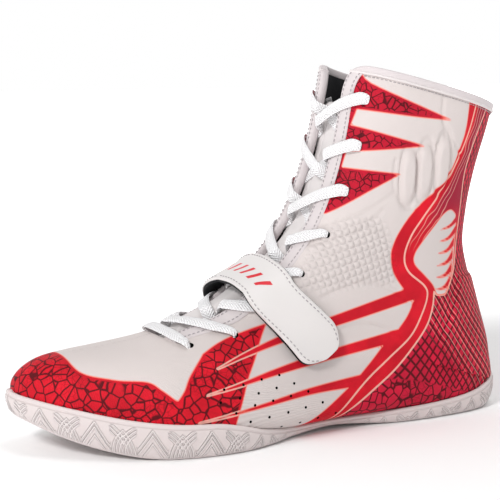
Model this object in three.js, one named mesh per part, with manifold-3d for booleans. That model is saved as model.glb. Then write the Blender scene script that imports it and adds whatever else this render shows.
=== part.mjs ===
// A left boxing boot, in millimetres. +X points to the heel, -X to the toe, -Y to the outer (lateral) side and
// +Z up. The origin is the middle of the heel's tread, where it stands on the ground.
//
// The boot's skin is one surface, skin(u, v). u counts along the stations below, from the top of the collar (0),
// down the shaft, round the ankle and forward to the toe tip (18). v runs round a station: 0 is the front or top
// centre line, 1 is the back or bottom centre line, positive on the lateral side and negative on the medial side.
import * as THREE from 'three';
import { mergeVertices } from 'three/addons/utils/BufferGeometryUtils.js';
import Module from 'manifold-3d';

const wasm = await Module();
wasm.setup();

// ---------------------------------------------------------------- driving dimensions

// front and back: [x, z] of the station's two ends. centre: y of both. wide: lateral and medial half-width.
// belly: where from front to back it is widest. square: how square the front and back halves are, 2 an ellipse.
const STATIONS = [
  { front: [-61, 203], back: [40, 177], centre: 0, wide: [38.5, 38.5], belly: 0.5, square: [3, 2] },
  { front: [-65, 187], back: [36, 162], centre: 0, wide: [37.5, 37.5], belly: 0.5, square: [3, 2] },
  { front: [-71, 160], back: [28, 139], centre: 0, wide: [36.5, 36.5], belly: 0.5, square: [3, 2] },
  { front: [-79, 136], back: [23, 116], centre: 0, wide: [36.5, 36.5], belly: 0.5, square: [3, 2] },
  { front: [-90, 114], back: [21.5, 98], centre: 0, wide: [36.5, 36.5], belly: 0.5, square: [3, 2] },
  { front: [-104, 97], back: [25, 80], centre: 0, wide: [36, 35.5], belly: 0.5, square: [3, 2.2] },
  { front: [-118, 85], back: [31.2, 58], centre: 0, wide: [36.5, 35], belly: 0.5, square: [2.9, 2.4] },
  { front: [-130, 77.5], back: [36.8, 32], centre: 0, wide: [37, 34], belly: 0.52, square: [2.8, 2.7] },
  { front: [-141, 71.5], back: [35.2, 10], centre: 0, wide: [37.5, 33], belly: 0.55, square: [2.6, 3] },
  { front: [-151, 67.5], back: [0, 5], centre: 0, wide: [38.5, 32], belly: 0.6, square: [2.5, 4] },
  { front: [-162, 63.5], back: [-60, 5.5], centre: 1, wide: [42, 32], belly: 0.62, square: [2.4, 4] },
  { front: [-174, 59.5], back: [-118, 5], centre: 2, wide: [48, 37], belly: 0.64, square: [2.3, 4] },
  { front: [-189, 56], back: [-160, 5], centre: 4, wide: [50, 41], belly: 0.66, square: [2.3, 4] },
  { front: [-204, 53.5], back: [-191.5, 8], centre: 7, wide: [44, 37.5], belly: 0.66, square: [2.3, 3.6] },
  { front: [-218.3, 51.5], back: [-213.5, 13], centre: 10.5, wide: [34, 31], belly: 0.66, square: [2.3, 3.2] },
  { front: [-231.5, 49], back: [-230.5, 19], centre: 14, wide: [24, 23], belly: 0.64, square: [2.3, 2.8] },
  { front: [-240.4, 44.5], back: [-241, 23.5], centre: 17, wide: [16, 15.5], belly: 0.6, square: [2.2, 2.4] },
  { front: [-246, 38.5], back: [-246.6, 27.5], centre: 19, wide: [8.5, 8.5], belly: 0.55, square: [2.1, 2.2] },
  { front: [-248, 32.5], back: [-248, 32.5], centre: 19.5, wide: [0, 0], belly: 0.5, square: [2, 2] },
];
const TIP = STATIONS.length - 1;
const RIM = 0.35; // station where the quarters end and the collar binding begins
const SEAM = 11.1; // station of the seam between quarters and vamp
const THROAT_HALF = [12, 14]; // from the centre line to a quarter's edge, at the collar and from the ankle down
const THROAT_END = 10.9; // station of the throat's lower end
const EYELET_HALF = 27; // from the centre line to each eyelet, along y
const EYELET_ROWS = 8;
const EYELET_PITCH = 26;
const EYELET_RADIUS = 2.3;
const FIRST_EYELET = 10.75; // station of the lowest row
const BINDING_WIDE = 9; // of the binding along each throat edge
const GAP = 0.3; // left between pieces that touch

// layers, as offsets from the skin, outwards positive: [outer face, inner face]
const QUARTER = [0, -2.2];
const LINING = [-2.6, -3.2];
const STIFFENER_DEEP = 2.2; // how much deeper the lining lies over the heel counter and the toe puff
const STIFFENER = [-3.2, -4.2];
const TONGUE = [-5.4, -9.6];
const LACE_THICK = 1.3;
const LACE_WIDE = 5.4;
const LACE_OVER = 2.4; // middle of the lace where it lies on a quarter
const LACE_UNDER = -4.5; // middle of the lace where it runs under a quarter

// the sole: height of its top edge on the lateral and medial sides, and of its tread, against x
const SOLE_TOP = [
  [-248.5, 31.5], [-229.5, 27], [-202, 21.5], [-180, 18.8], [-160, 17.6], [-145, 14.5], [-128, 9.5],
  [-108, 6.8], [-85, 6.4], [-40, 8.2], [-5, 10], [18, 13], [32, 18], [40, 21],
];
const SOLE_TOP_MEDIAL = [
  [-248.5, 31.5], [-229.5, 27], [-202, 21.5], [-180, 18], [-150, 14], [-120, 10.5], [-85, 9.5],
  [-40, 9.5], [-5, 10.5], [18, 13], [32, 18], [40, 21],
];
const TREAD = [
  [-251, 20], [-244.5, 17.2], [-232.5, 11.2], [-218.5, 6], [-204, 2.4], [-190, 0.4], [-183, 0], [-120, 0],
  [-105, 1], [-80, 2.2], [-55, 1], [-38, 0], [21, 0], [29, 1], [38.5, 6.5],
];
const SOLE_RING = 40; // points along each side

// the strap: its centre line as [v, u], its width, where it ends, and the v of the two lines it bends about
const STRAP_LINE = [
  [-0.62, 8.9], [-0.45, 8.5], [-0.3, 7.7], [-0.12, 6.5], [0, 6.05], [0.12, 6.3], [0.2, 6.85], [0.31, 7.75],
  [0.38, 8.45], [0.42, 8.9],
];
const STRAP_WIDE = 30;
const STRAP_ENDS = [-0.52, 0.41];
const STRAP_HINGE = -0.2;
const STRAP_FOLD = 0.1;
const STRAP = [5.6, 3.6];
const HOOK = [3.2, 2.4];
const LOOP = [2, -0.6];
const FOLD_GAP = 0.008; // of v, left between the strap's parts where it bends

// ---------------------------------------------------------------- small maths

const clamp = (t, lo, hi) => Math.min(hi, Math.max(lo, t));
const smooth = (lo, hi, x) => {
  const t = clamp((x - lo) / (hi - lo), 0, 1);
  return t * t * (3 - 2 * t);
};
const mix = (a, b, t) => a + (b - a) * t;

// Catmull-Rom through the stations, with pick naming the number that is wanted.
function along(u, pick) {
  const i = clamp(Math.floor(u), 0, TIP - 1);
  const t = u - i;
  const [a, b, c, d] = [i - 1, i, i + 1, i + 2].map((k) => pick(STATIONS[clamp(k, 0, TIP)]));
  const square = 2 * a - 5 * b + 4 * c - d;
  const cube = 3 * b - a - 3 * c + d;
  return 0.5 * (2 * b + (c - a) * t + square * t * t + cube * t ** 3);
}

// Smooth curve through [x, value] pairs, flat where two values are alike.
function profile(pairs, x) {
  const last = pairs.length - 1;
  if (x <= pairs[0][0]) return pairs[0][1];
  if (x >= pairs[last][0]) return pairs[last][1];
  const i = pairs.findIndex((p) => p[0] > x) - 1;
  const rise = (k) => (pairs[k + 1][1] - pairs[k][1]) / (pairs[k + 1][0] - pairs[k][0]);
  const slope = (k) => {
    if (k === 0 || k === last) return rise(Math.min(k, last - 1));
    const [p, q] = [rise(k - 1), rise(k)];
    return p * q <= 0 ? 0 : (2 * p * q) / (p + q);
  };
  const w = pairs[i + 1][0] - pairs[i][0];
  const t = (x - pairs[i][0]) / w;
  const [y0, y1, m0, m1] = [pairs[i][1], pairs[i + 1][1], slope(i) * w, slope(i + 1) * w];
  const start = (2 * t ** 3 - 3 * t * t + 1) * y0 + (t ** 3 - 2 * t * t + t) * m0;
  return start + (3 * t * t - 2 * t ** 3) * y1 + (t ** 3 - t * t) * m1;
}

// ---------------------------------------------------------------- the skin

function skin(u, v) {
  const around = v > 1 ? v - 2 : v < -1 ? v + 2 : v;
  const side = around >= 0 ? 0 : 1;
  const angle = Math.PI * Math.abs(around);
  const forward = Math.cos(angle) > 0;
  const square = Math.max(1.6, along(u, (s) => s.square[forward ? 0 : 1]));
  const belly = along(u, (s) => s.belly);
  const cosine = Math.abs(Math.cos(angle)) ** (2 / square);
  const sine = Math.abs(Math.sin(angle)) ** (2 / square);
  const t = forward ? belly * (1 - cosine) : belly + (1 - belly) * cosine;
  const wide = Math.max(0, along(u, (s) => s.wide[side]));
  return new THREE.Vector3(
    mix(along(u, (s) => s.front[0]), along(u, (s) => s.back[0]), t),
    along(u, (s) => s.centre) + (side === 0 ? -1 : 1) * wide * sine,
    mix(along(u, (s) => s.front[1]), along(u, (s) => s.back[1]), t),
  );
}

function outward(u, v) {
  const [du, dv] = [0.03, 0.004];
  const u0 = clamp(u, du, TIP - 2 * du);
  const a = skin(u0 + du, v).sub(skin(u0 - du, v));
  const b = skin(u0, v + dv).sub(skin(u0, v - dv));
  return a.cross(b).normalize();
}

const raised = (u, v, height) => skin(u, v).addScaledVector(outward(u, v), height);

// v of the point that lies half away from the centre line on a station's front half. The sign of half picks the
// side.
function vAt(u, half) {
  const wide = along(u, (s) => s.wide[half >= 0 ? 0 : 1]);
  const square = along(u, (s) => s.square[0]);
  const sine = clamp(Math.abs(half) / wide, 0, 1) ** (square / 2);
  return (Math.sign(half) * Math.asin(sine)) / Math.PI;
}

// ---------------------------------------------------------------- solids

// Closed geometry from a list of points and triangles, with the triangles that collapsed left out.
function closed(points, triangles) {
  const flat = [];
  for (const t of triangles) {
    const [a, b, c] = t.map((i) => points[i]);
    const apart = Math.min(a.distanceTo(b), b.distanceTo(c), c.distanceTo(a)) > 2e-3;
    if (apart) flat.push(...a.toArray(), ...b.toArray(), ...c.toArray());
  }
  const geometry = new THREE.BufferGeometry();
  geometry.setAttribute('position', new THREE.Float32BufferAttribute(flat, 3));
  return mergeVertices(geometry, 1e-3);
}

// Closed solid between two grids of rows x columns points: face lies outside and under inside it.
function slab(rows, columns, face, under) {
  const points = [];
  for (const grid of [face, under]) {
    for (let i = 0; i < rows; i++) {
      for (let j = 0; j < columns; j++) points.push(grid(i / (rows - 1), j / (columns - 1)));
    }
  }
  const at = (layer, i, j) => layer * rows * columns + i * columns + j;
  const triangles = [];
  const quad = (a, b, c, d) => triangles.push([a, b, c], [a, c, d]);
  for (let i = 0; i < rows - 1; i++) {
    for (let j = 0; j < columns - 1; j++) {
      quad(at(0, i, j), at(0, i, j + 1), at(0, i + 1, j + 1), at(0, i + 1, j));
      quad(at(1, i, j), at(1, i + 1, j), at(1, i + 1, j + 1), at(1, i, j + 1));
    }
    quad(at(0, i, 0), at(0, i + 1, 0), at(1, i + 1, 0), at(1, i, 0));
    quad(at(0, i + 1, columns - 1), at(0, i, columns - 1), at(1, i, columns - 1), at(1, i + 1, columns - 1));
  }
  for (let j = 0; j < columns - 1; j++) {
    quad(at(0, 0, j + 1), at(0, 0, j), at(1, 0, j), at(1, 0, j + 1));
    quad(at(0, rows - 1, j), at(0, rows - 1, j + 1), at(1, rows - 1, j + 1), at(1, rows - 1, j));
  }
  return facingOut(closed(points, triangles));
}

function facingOut(geometry) {
  return solidOf(geometry).volume() > 0 ? geometry : flipped(geometry);
}

function flipped(geometry) {
  const index = geometry.index.array;
  for (let i = 0; i < index.length; i += 3) [index[i + 1], index[i + 2]] = [index[i + 2], index[i + 1]];
  return geometry;
}

// Panel of the boot: rows run along u from u0 to u1, columns along v as vOf(u, 0..1) says, between two offsets.
// Those are a pair of numbers, or a function of u and v that gives the pair.
function panel({ u0, u1, rows, columns, vOf, layer }) {
  const layerAt = typeof layer === 'function' ? layer : () => layer;
  const point = (k) => (i, j) => {
    const u = mix(u0, u1, i);
    const v = vOf(u, j);
    return raised(u, v, layerAt(u, v)[k]);
  };
  return slab(rows, columns, point(0), point(1));
}

// The room that a panel between two fixed offsets takes, with GAP kept clear over and under it, for cutting from
// its neighbours.
const roomOf = (spec) => panel({ ...spec, layer: [spec.layer[0] + GAP, spec.layer[1] - GAP] });

function solidOf(geometry) {
  const plain = geometry.index ? geometry : mergeVertices(geometry, 1e-3);
  return new wasm.Manifold(new wasm.Mesh({
    numProp: 3,
    vertProperties: new Float32Array(plain.attributes.position.array),
    triVerts: new Uint32Array(plain.index.array),
  }));
}

function geometryOf(solid) {
  const mesh = solid.getMesh();
  const geometry = new THREE.BufferGeometry();
  const stride = mesh.numProp;
  const positions = [];
  for (let i = 0; i < mesh.numVert; i++) {
    positions.push(...mesh.vertProperties.slice(i * stride, i * stride + 3));
  }
  geometry.setAttribute('position', new THREE.Float32BufferAttribute(positions, 3));
  geometry.setIndex([...mesh.triVerts]);
  return geometry;
}

// Geometry less the tools; where that leaves slivers beside it, the largest body.
function cut(geometry, ...tools) {
  const rest = tools.reduce((s, t) => s.subtract(solidOf(t)), solidOf(geometry));
  return geometryOf(rest.decompose().sort((a, b) => b.volume() - a.volume())[0]);
}

// ---------------------------------------------------------------- materials and the group

const boot = new THREE.Group();
const finish = (color, roughness = 0.7) => new THREE.MeshStandardMaterial({ color, roughness, metalness: 0 });
const WHITE_FABRIC = finish('#e6e1dc', 0.8);
const RED_PRINT = finish('#c8202e', 0.7);
const WHITE_LEATHER = finish('#ece9e6', 0.45);
const BLACK_LINING = finish('#141416', 0.95);
const RUBBER = finish('#ddd6d4', 0.6);
const FOAM = finish('#c9c6c0', 0.9);
const BOARD = finish('#b9a888', 0.9);
const LACE = finish('#f2f1f2', 0.85);
const PLASTIC = finish('#f4f4f4', 0.35);

function add(name, geometry, material) {
  const mesh = new THREE.Mesh(geometry, material);
  mesh.name = name;
  boot.add(mesh);
  return mesh;
}

// ---------------------------------------------------------------- eyelets

// Stations of the eyelet rows, lowest first, EYELET_PITCH apart along the lateral side.
function eyeletStations() {
  const found = [FIRST_EYELET];
  const step = 0.01;
  let u = FIRST_EYELET;
  let run = 0;
  let last = skin(u, vAt(u, EYELET_HALF));
  while (found.length < EYELET_ROWS && u > 0) {
    u -= step;
    const next = skin(u, vAt(u, EYELET_HALF));
    run += next.distanceTo(last);
    last = next;
    if (run >= EYELET_PITCH * found.length) found.push(u);
  }
  return found;
}
const ROW_U = eyeletStations();

// Round cutter through the quarter and its lining at one eyelet.
function eyeletCutter(u, side) {
  const v = vAt(u, side * EYELET_HALF);
  const tool = new THREE.CylinderGeometry(EYELET_RADIUS, EYELET_RADIUS, 14, 10);
  tool.deleteAttribute('normal');
  tool.deleteAttribute('uv');
  const turn = new THREE.Quaternion().setFromUnitVectors(new THREE.Vector3(0, 1, 0), outward(u, v));
  const place = skin(u, v);
  return mergeVertices(tool.applyQuaternion(turn).translate(place.x, place.y, place.z), 1e-3);
}

// ---------------------------------------------------------------- quarters, vamp and their linings

// Lower edge of the quarters and the vamp: at the back seam on the shaft, tucked under the foot further forward.
const lastingEdge = (u) => mix(0.996, 0.87, smooth(8.1, 8.8, u));

// The lining steps in behind the heel counter and the toe puff.
const heelDepth = (u, v) => smooth(4.6, 5.3, u) * smooth(0.44, 0.54, Math.abs(v)) * (1 - smooth(8.1, 8.6, u));
const toeDepth = (u, v) => smooth(14.2, 14.8, u) * (1 - smooth(0.6, 0.72, Math.abs(v)));
const liningLayer = (u, v) => {
  const deeper = STIFFENER_DEEP * Math.max(heelDepth(u, v), toeDepth(u, v));
  return [LINING[0] - deeper, LINING[1] - deeper];
};

const throatHalf = (u) => mix(THROAT_HALF[0], THROAT_HALF[1], smooth(0, 5, u));
const quarters = {};

for (const side of [1, -1]) {
  const name = side === 1 ? 'lateral' : 'medial';
  const holes = ROW_U.map((u) => eyeletCutter(u, side));
  const edge = (u, wider = 0) => vAt(u, side * (throatHalf(u) + wider));
  const quarter = {
    u0: RIM, u1: SEAM - 0.02, rows: 23, columns: 15,
    vOf: (u, j) => mix(edge(u), side * lastingEdge(u), j), layer: QUARTER,
  };
  quarters[side] = quarter;
  add(`quarter_${name}`, cut(panel(quarter), ...holes), side === 1 ? RED_PRINT : WHITE_FABRIC);
  add(`quarter_lining_${name}`, cut(panel({ ...quarter, layer: liningLayer }), ...holes), BLACK_LINING);
  add(`throat_binding_${name}`, cut(panel({
    u0: RIM + 0.02, u1: THROAT_END, rows: 23, columns: 4,
    vOf: (u, j) => edge(u, mix(0.4, BINDING_WIDE, j)), layer: [1.4, -0.6],
  }), roomOf(quarter)), WHITE_FABRIC);
}

const vamp = {
  u0: SEAM + 0.02, u1: TIP, rows: 17, columns: 23,
  vOf: (u, j) => mix(-1, 1, j) * lastingEdge(u), layer: QUARTER,
};
add('vamp', panel(vamp), RED_PRINT);
const vampLining = { ...vamp, u1: TIP - 0.9, vOf: (u, j) => mix(-1, 1, j) * 0.84, layer: liningLayer };
add('vamp_lining', panel(vampLining), BLACK_LINING);
add('toe_puff', panel({
  u0: 15, u1: TIP - 0.9, rows: 7, columns: 15, vOf: (u, j) => mix(-1, 1, j) * 0.58, layer: STIFFENER,
}), BOARD);
add('heel_counter', panel({
  u0: 5.4, u1: 7.65, rows: 7, columns: 19, vOf: (u, j) => 1 + mix(-1, 1, j) * 0.42, layer: STIFFENER,
}), BOARD);
const heelCup = {
  u0: 5.0, u1: 7.75, rows: 11, columns: 23,
  vOf: (u, j) => 1 + mix(-1, 1, j) * mix(0.3, 0.46, smooth(5, 8, u)), layer: [1.6, -0.6],
};
add('heel_cup', cut(panel(heelCup), ...[1, -1].map((side) => roomOf(quarters[side]))), RED_PRINT);

// The collar binding stands on the quarters' top edge, from one throat corner round the back to the other.
add('collar_binding', panel({
  u0: 0, u1: RIM - 0.03, rows: 3, columns: 41,
  vOf: (u, j) => mix(vAt(u, THROAT_HALF[0]), 2 - vAt(u, THROAT_HALF[0]), j), layer: [1.2, -3.6],
}), WHITE_FABRIC);

// ---------------------------------------------------------------- tongue

const TONGUE_ENDS = [0.3, 11.4]; // stations of its upper edge and of the seam under the vamp
const TONGUE_HALF = 20;
add('tongue', panel({
  u0: TONGUE_ENDS[0], u1: TONGUE_ENDS[1], rows: 22, columns: 9,
  vOf: (u, j) => vAt(u, mix(-1, 1, j) * TONGUE_HALF), layer: TONGUE,
}), WHITE_FABRIC);

// ---------------------------------------------------------------- laces

// Ribbon through frames of { at, normal, wide, thick }: a rectangle at each, across the run and the normal.
function ribbon(frames) {
  const rings = frames.map((f, k) => {
    const before = frames[Math.max(0, k - 1)].at;
    const after = frames[Math.min(frames.length - 1, k + 1)].at;
    const run = after.clone().sub(before).normalize();
    const across = run.clone().cross(f.normal).normalize();
    const up = across.clone().cross(run);
    return [[1, 1], [-1, 1], [-1, -1], [1, -1]].map(([a, b]) =>
      f.at.clone().addScaledVector(across, (a * f.wide) / 2).addScaledVector(up, (b * f.thick) / 2));
  });
  const triangles = [];
  const last = (rings.length - 1) * 4;
  for (let r = 0; r < last; r += 4) {
    for (let k = 0; k < 4; k++) {
      const n = (k + 1) % 4;
      triangles.push([r + k, r + n, r + n + 4], [r + k, r + n + 4, r + k + 4]);
    }
  }
  triangles.push([0, 2, 1], [0, 3, 2], [last, last + 1, last + 2], [last, last + 2, last + 3]);
  return facingOut(closed(rings.flat(), triangles));
}

// Frame on the skin, half away from the centre line and height above it.
function laceFrame(u, half, height, wide = LACE_WIDE, thick = LACE_THICK) {
  const v = vAt(u, half);
  return { at: raised(u, v, height), normal: outward(u, v), wide, thick };
}

// Lace from over the eyelet of one row, across the throat and under the other quarter, to the hole of the row
// below.
function crossing(row, side) {
  const [from, to] = [ROW_U[row], ROW_U[row - 1]];
  const frames = [];
  const onTop = (row % 2 === 1) === (side === 1);
  const steps = 16;
  for (let k = 0; k <= steps; k++) {
    const t = k / steps;
    const half = side * mix(EYELET_HALF - 1, 1 - EYELET_HALF, t);
    const reach = onTop ? smooth(-10.5, -6, side * half) : smooth(6, 10.5, side * half);
    frames.push(laceFrame(mix(from, to, t), half, mix(LACE_UNDER, LACE_OVER, reach)));
  }
  return ribbon(frames);
}

for (let row = 1; row < EYELET_ROWS; row++) {
  add(`lace_${row}_from_lateral`, crossing(row, 1), LACE);
  add(`lace_${row}_from_medial`, crossing(row, -1), LACE);
}
const bar = [];
for (let k = 0; k <= 10; k++) {
  bar.push(laceFrame(ROW_U[0] + 0.12, mix(EYELET_HALF, -EYELET_HALF, k / 10), LACE_OVER));
}
add('lace_bar', ribbon(bar), LACE);

// Each end of the lace hangs down inside the shaft from the top eyelet, to a plastic tip. Its route's points are
// [stations below the eyelet, v, height over the skin].
const TAIL_PATH = [
  [0, 0.2, -7], [0.35, 0.3, -8], [0.9, 0.42, -9], [1.6, 0.5, -9.5], [2.4, 0.52, -9.5], [3.2, 0.53, -9.5],
];
const AGLET_AT = [0.3, 11, 22]; // beyond the lace's end
const AGLET_WIDE = 2.6;
for (const side of [1, -1]) {
  const name = side === 1 ? 'lateral' : 'medial';
  const start = ROW_U[EYELET_ROWS - 1];
  const knots = TAIL_PATH.map(([du, v, height]) => raised(start + du, side * v, height));
  const path = new THREE.CatmullRomCurve3(knots);
  const frames = [];
  for (let k = 0; k <= 16; k++) {
    const at = path.getPointAt(k / 16);
    frames.push({ at, normal: new THREE.Vector3(0, -side, 0), wide: LACE_WIDE - 1, thick: LACE_THICK });
  }
  add(`lace_tail_${name}`, ribbon(frames), LACE);
  const end = frames[16].at;
  const onward = end.clone().sub(frames[15].at).normalize();
  const tip = AGLET_AT.map((d) => {
    const at = end.clone().addScaledVector(onward, d);
    return { at, normal: frames[16].normal, wide: AGLET_WIDE, thick: AGLET_WIDE };
  });
  add(`aglet_${name}`, ribbon(tip), PLASTIC);
}

// ---------------------------------------------------------------- strap

// Point of the strap: v is that of its centre line, and across runs in millimetres from that line, forward
// positive.
function strapPoint(v, across, height) {
  const uAt = (w) => profile(STRAP_LINE, w);
  const [du, dv, steps] = [0.02, 0.004, 6];
  const slopes = (u, w) => [
    skin(u + du, w).sub(skin(u - du, w)).divideScalar(2 * du),
    skin(u, w + dv).sub(skin(u, w - dv)).divideScalar(2 * dv),
  ];
  const run = skin(uAt(v + 3 * dv), v + 3 * dv).sub(skin(uAt(v - 3 * dv), v - 3 * dv)).normalize();
  const side = outward(uAt(v), v).cross(run).normalize();
  const step = (across / steps) * (side.dot(slopes(uAt(v), v)[0]) >= 0 ? 1 : -1);
  let [u, w] = [uAt(v), v];
  for (let k = 0; k < steps; k++) {
    const [alongU, alongV] = slopes(u, w);
    const [uu, uv, vv] = [alongU.dot(alongU), alongU.dot(alongV), alongV.dot(alongV)];
    const [pu, pv] = [side.dot(alongU) * step, side.dot(alongV) * step];
    const det = uu * vv - uv * uv;
    u += (pu * vv - pv * uv) / det;
    w += (pv * uu - pu * uv) / det;
  }
  return raised(u, w, height);
}

function strapPanel(v0, v1, columns, layer, wide = STRAP_WIDE, round = 0) {
  const half = (v) => {
    const left = clamp((v1 - v) / 0.06, 0, 1);
    return round ? (wide / 2) * Math.sqrt(mix(1, 1 - (1 - left) ** 2, 0.75)) : wide / 2;
  };
  const point = (k) => (i, j) => {
    const v = mix(v0, v1, j);
    return strapPoint(v, mix(-1, 1, i) * half(v), typeof layer === 'function' ? layer(v)[k] : layer[k]);
  };
  return slab(6, columns, point(0), point(1));
}
const sewnDown = (v) => [STRAP[0], mix(-0.6, STRAP[1], smooth(-0.48, -0.42, v))];
const sewnEnd = strapPanel(STRAP_ENDS[0], STRAP_HINGE - FOLD_GAP, 20, sewnDown);
add('strap_anchor', cut(sewnEnd, roomOf(quarters[-1])), WHITE_LEATHER);
add('strap_base', strapPanel(STRAP_HINGE, STRAP_FOLD - FOLD_GAP, 14, STRAP), WHITE_LEATHER);
add('strap_tip', strapPanel(STRAP_FOLD, STRAP_ENDS[1], 16, STRAP, STRAP_WIDE, 1), WHITE_LEATHER);
const hookEnds = [STRAP_ENDS[1] - 0.11, STRAP_ENDS[1] - 0.012];
const loopEnds = [STRAP_ENDS[1] - 0.13, STRAP_ENDS[1] + 0.005];
const loop = strapPanel(...loopEnds, 10, LOOP, STRAP_WIDE - 2);
add('strap_hook', strapPanel(...hookEnds, 8, HOOK, STRAP_WIDE - 4), BLACK_LINING);
add('loop_patch', cut(loop, roomOf(quarters[1])), BLACK_LINING);

// ---------------------------------------------------------------- sole

// The line where the skin meets the sole's top edge on one side, from the heel to the toe tip.
function featherLine(side) {
  const top = side === 1 ? SOLE_TOP : SOLE_TOP_MEDIAL;
  const points = [];
  const meets = (u) => {
    let [lo, hi] = [0.3, 1];
    for (let k = 0; k < 30; k++) {
      const v = (lo + hi) / 2;
      const p = skin(u, side * v);
      if (p.z > profile(top, p.x)) lo = v;
      else hi = v;
    }
    return skin(u, (side * (lo + hi)) / 2);
  };
  let start = 7;
  while (skin(start, 1).z > profile(top, skin(start, 1).x)) start += 0.01;
  for (let k = 0; k <= 300; k++) points.push(meets(mix(start, TIP - 0.02, k / 300)));
  return new THREE.CatmullRomCurve3(points).getSpacedPoints(SOLE_RING);
}
const FEATHER = { 1: featherLine(1), '-1': featherLine(-1) };

// One level of the sole: the feather line moved out in plan, at the height that heightAt gives for x and the top
// edge.
function soleRing(out, heightAt) {
  const line = [...FEATHER[1], ...FEATHER[-1].slice(1, -1).reverse()];
  const n = line.length;
  return line.map((p, k) => {
    const before = line[(k + n - 1) % n];
    const after = line[(k + 1) % n];
    const normal = new THREE.Vector2(after.y - before.y, before.x - after.x).normalize();
    const x = p.x - normal.x * out;
    const y = p.y - normal.y * out;
    return new THREE.Vector3(x, y, heightAt(x, p.z));
  });
}
const tread = (x) => profile(TREAD, x);

// Solid through a stack of rings, closed at both ends by strips between each side's matching points.
function stacked(rings) {
  const n = rings[0].length;
  const points = rings.flat();
  const triangles = [];
  for (let r = 0; r < rings.length - 1; r++) {
    for (let k = 0; k < n; k++) {
      const [a, b] = [r * n + k, r * n + ((k + 1) % n)];
      triangles.push([a, b, b + n], [a, b + n, a + n]);
    }
  }
  for (const [base, flip] of [[0, true], [(rings.length - 1) * n, false]]) {
    for (let k = 0; k < n / 2 - 0.5; k++) {
      const [a, b, c, d] = [k, k + 1, (n - k - 1) % n, (n - k) % n].map((i) => base + i);
      for (const t of [[a, b, c], [a, c, d]]) triangles.push(flip ? [t[0], t[2], t[1]] : t);
    }
  }
  return facingOut(closed(points, triangles));
}

const MIDSOLE_BOTTOM = 2; // above the tread
const FLOOR = [
  [-247.5, 27.5], [-241, 22], [-230.5, 17.5], [-213.5, 11.5], [-191.5, 6.6], [-160, 3.7], [-118, 3.7],
  [-60, 4.4], [0, 4], [24, 4.6], [38.5, 6.5],
];
const floorAt = (x) => profile(FLOOR, x); // just under the skin's bottom
const level = (out, heightAt) => soleRing(out, (x, top) => heightAt(x, top));

// Flat plate that follows the boot's floor, inset from the feather line.
const plate = (inset, lowAt, highAt) => stacked([level(-inset, lowAt), level(-inset, highAt)]);
const overFloor = (height) => (x) => floorAt(x) + height;
const wellBottom = (x) => tread(x) + MIDSOLE_BOTTOM;

// The whole boot inside the skin, a little larger, to cut the sole's cavity with.
function skinSolid(grow, rows, columns) {
  const points = [];
  for (let i = 0; i < rows; i++) {
    const u = mix(4, TIP, i / (rows - 1));
    for (let j = 0; j < columns; j++) points.push(raised(u, mix(-1, 1, j / columns), grow));
  }
  const triangles = [];
  for (let i = 0; i < rows - 1; i++) {
    for (let j = 0; j < columns; j++) {
      const [a, b] = [i * columns + j, i * columns + ((j + 1) % columns)];
      triangles.push([a, a + columns, b + columns], [a, b + columns, b]);
    }
  }
  for (const base of [0, (rows - 1) * columns]) {
    for (let j = 1; j < columns - 1; j++) {
      triangles.push(base === 0 ? [0, j, j + 1] : [base, base + j + 1, base + j]);
    }
  }
  return facingOut(closed(points, triangles));
}

const block = stacked([
  level(-2.2, (x) => tread(x)),
  level(0.6, (x, top) => mix(tread(x), top, 0.12)),
  level(2.3, (x, top) => mix(tread(x), top, 0.45)),
  level(2.6, (x, top) => mix(tread(x), top, 0.85)),
  level(1.7, (x, top) => top),
]);
const well = plate(7 - GAP, (x) => wellBottom(x) - GAP, overFloor(4));
const cupRow = (heelCup.u1 - heelCup.u0) / (heelCup.rows - 1);
const cupRoom = roomOf({ ...heelCup, u1: heelCup.u1 + cupRow, rows: heelCup.rows + 1 });
add('outsole', cut(block, skinSolid(0.55, 50, 40), well, cupRoom), RUBBER);
add('midsole', plate(7, wellBottom, overFloor(0.6)), FOAM);

// The filler fills the space between the turned-in edges of the upper, along the middle of the floor.
const FILLER_ENDS = [-208, 8];
const FILLER_INSET = 24; // from the feather line
const featherAt = (side, x) => {
  const line = FEATHER[side];
  const k = line.findIndex((p) => p.x <= x);
  return mix(line[k - 1].y, line[k].y, (line[k - 1].x - x) / (line[k - 1].x - line[k].x));
};
const filler = (height) => (i, j) => {
  const x = mix(...FILLER_ENDS, i);
  const y = mix(featherAt(1, x) + FILLER_INSET, featherAt(-1, x) - FILLER_INSET, j);
  return new THREE.Vector3(x, y, floorAt(x) + height);
};
add('lasting_filler', slab(30, 4, filler(5.1), filler(1.8)), FOAM);

// The two plates that the foot stands on, trimmed to the room inside the linings.
const inside = solidOf(skinSolid(-5, 26, 32));
const trimmed = (geometry) => geometryOf(solidOf(geometry).intersect(inside));
add('insole_board', trimmed(plate(9.5, overFloor(5.4), overFloor(7.4))), BOARD);
add('sockliner', trimmed(plate(9.5, overFloor(7.8), overFloor(11.2))), FOAM);

export default boot;
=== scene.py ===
"""High boxing boot, left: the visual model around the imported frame.

Lengths are in millimetres in this script, and MM turns them into Blender's metres when a mesh is made. The
boot's skin is one surface, skin(u, v): u counts along the stations from the collar's top (0) to the toe tip
(18), and v runs round a station from the front or top centre line (0) to the back or bottom one (1 outer side,
-1 inner side).
"""

import math

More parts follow.
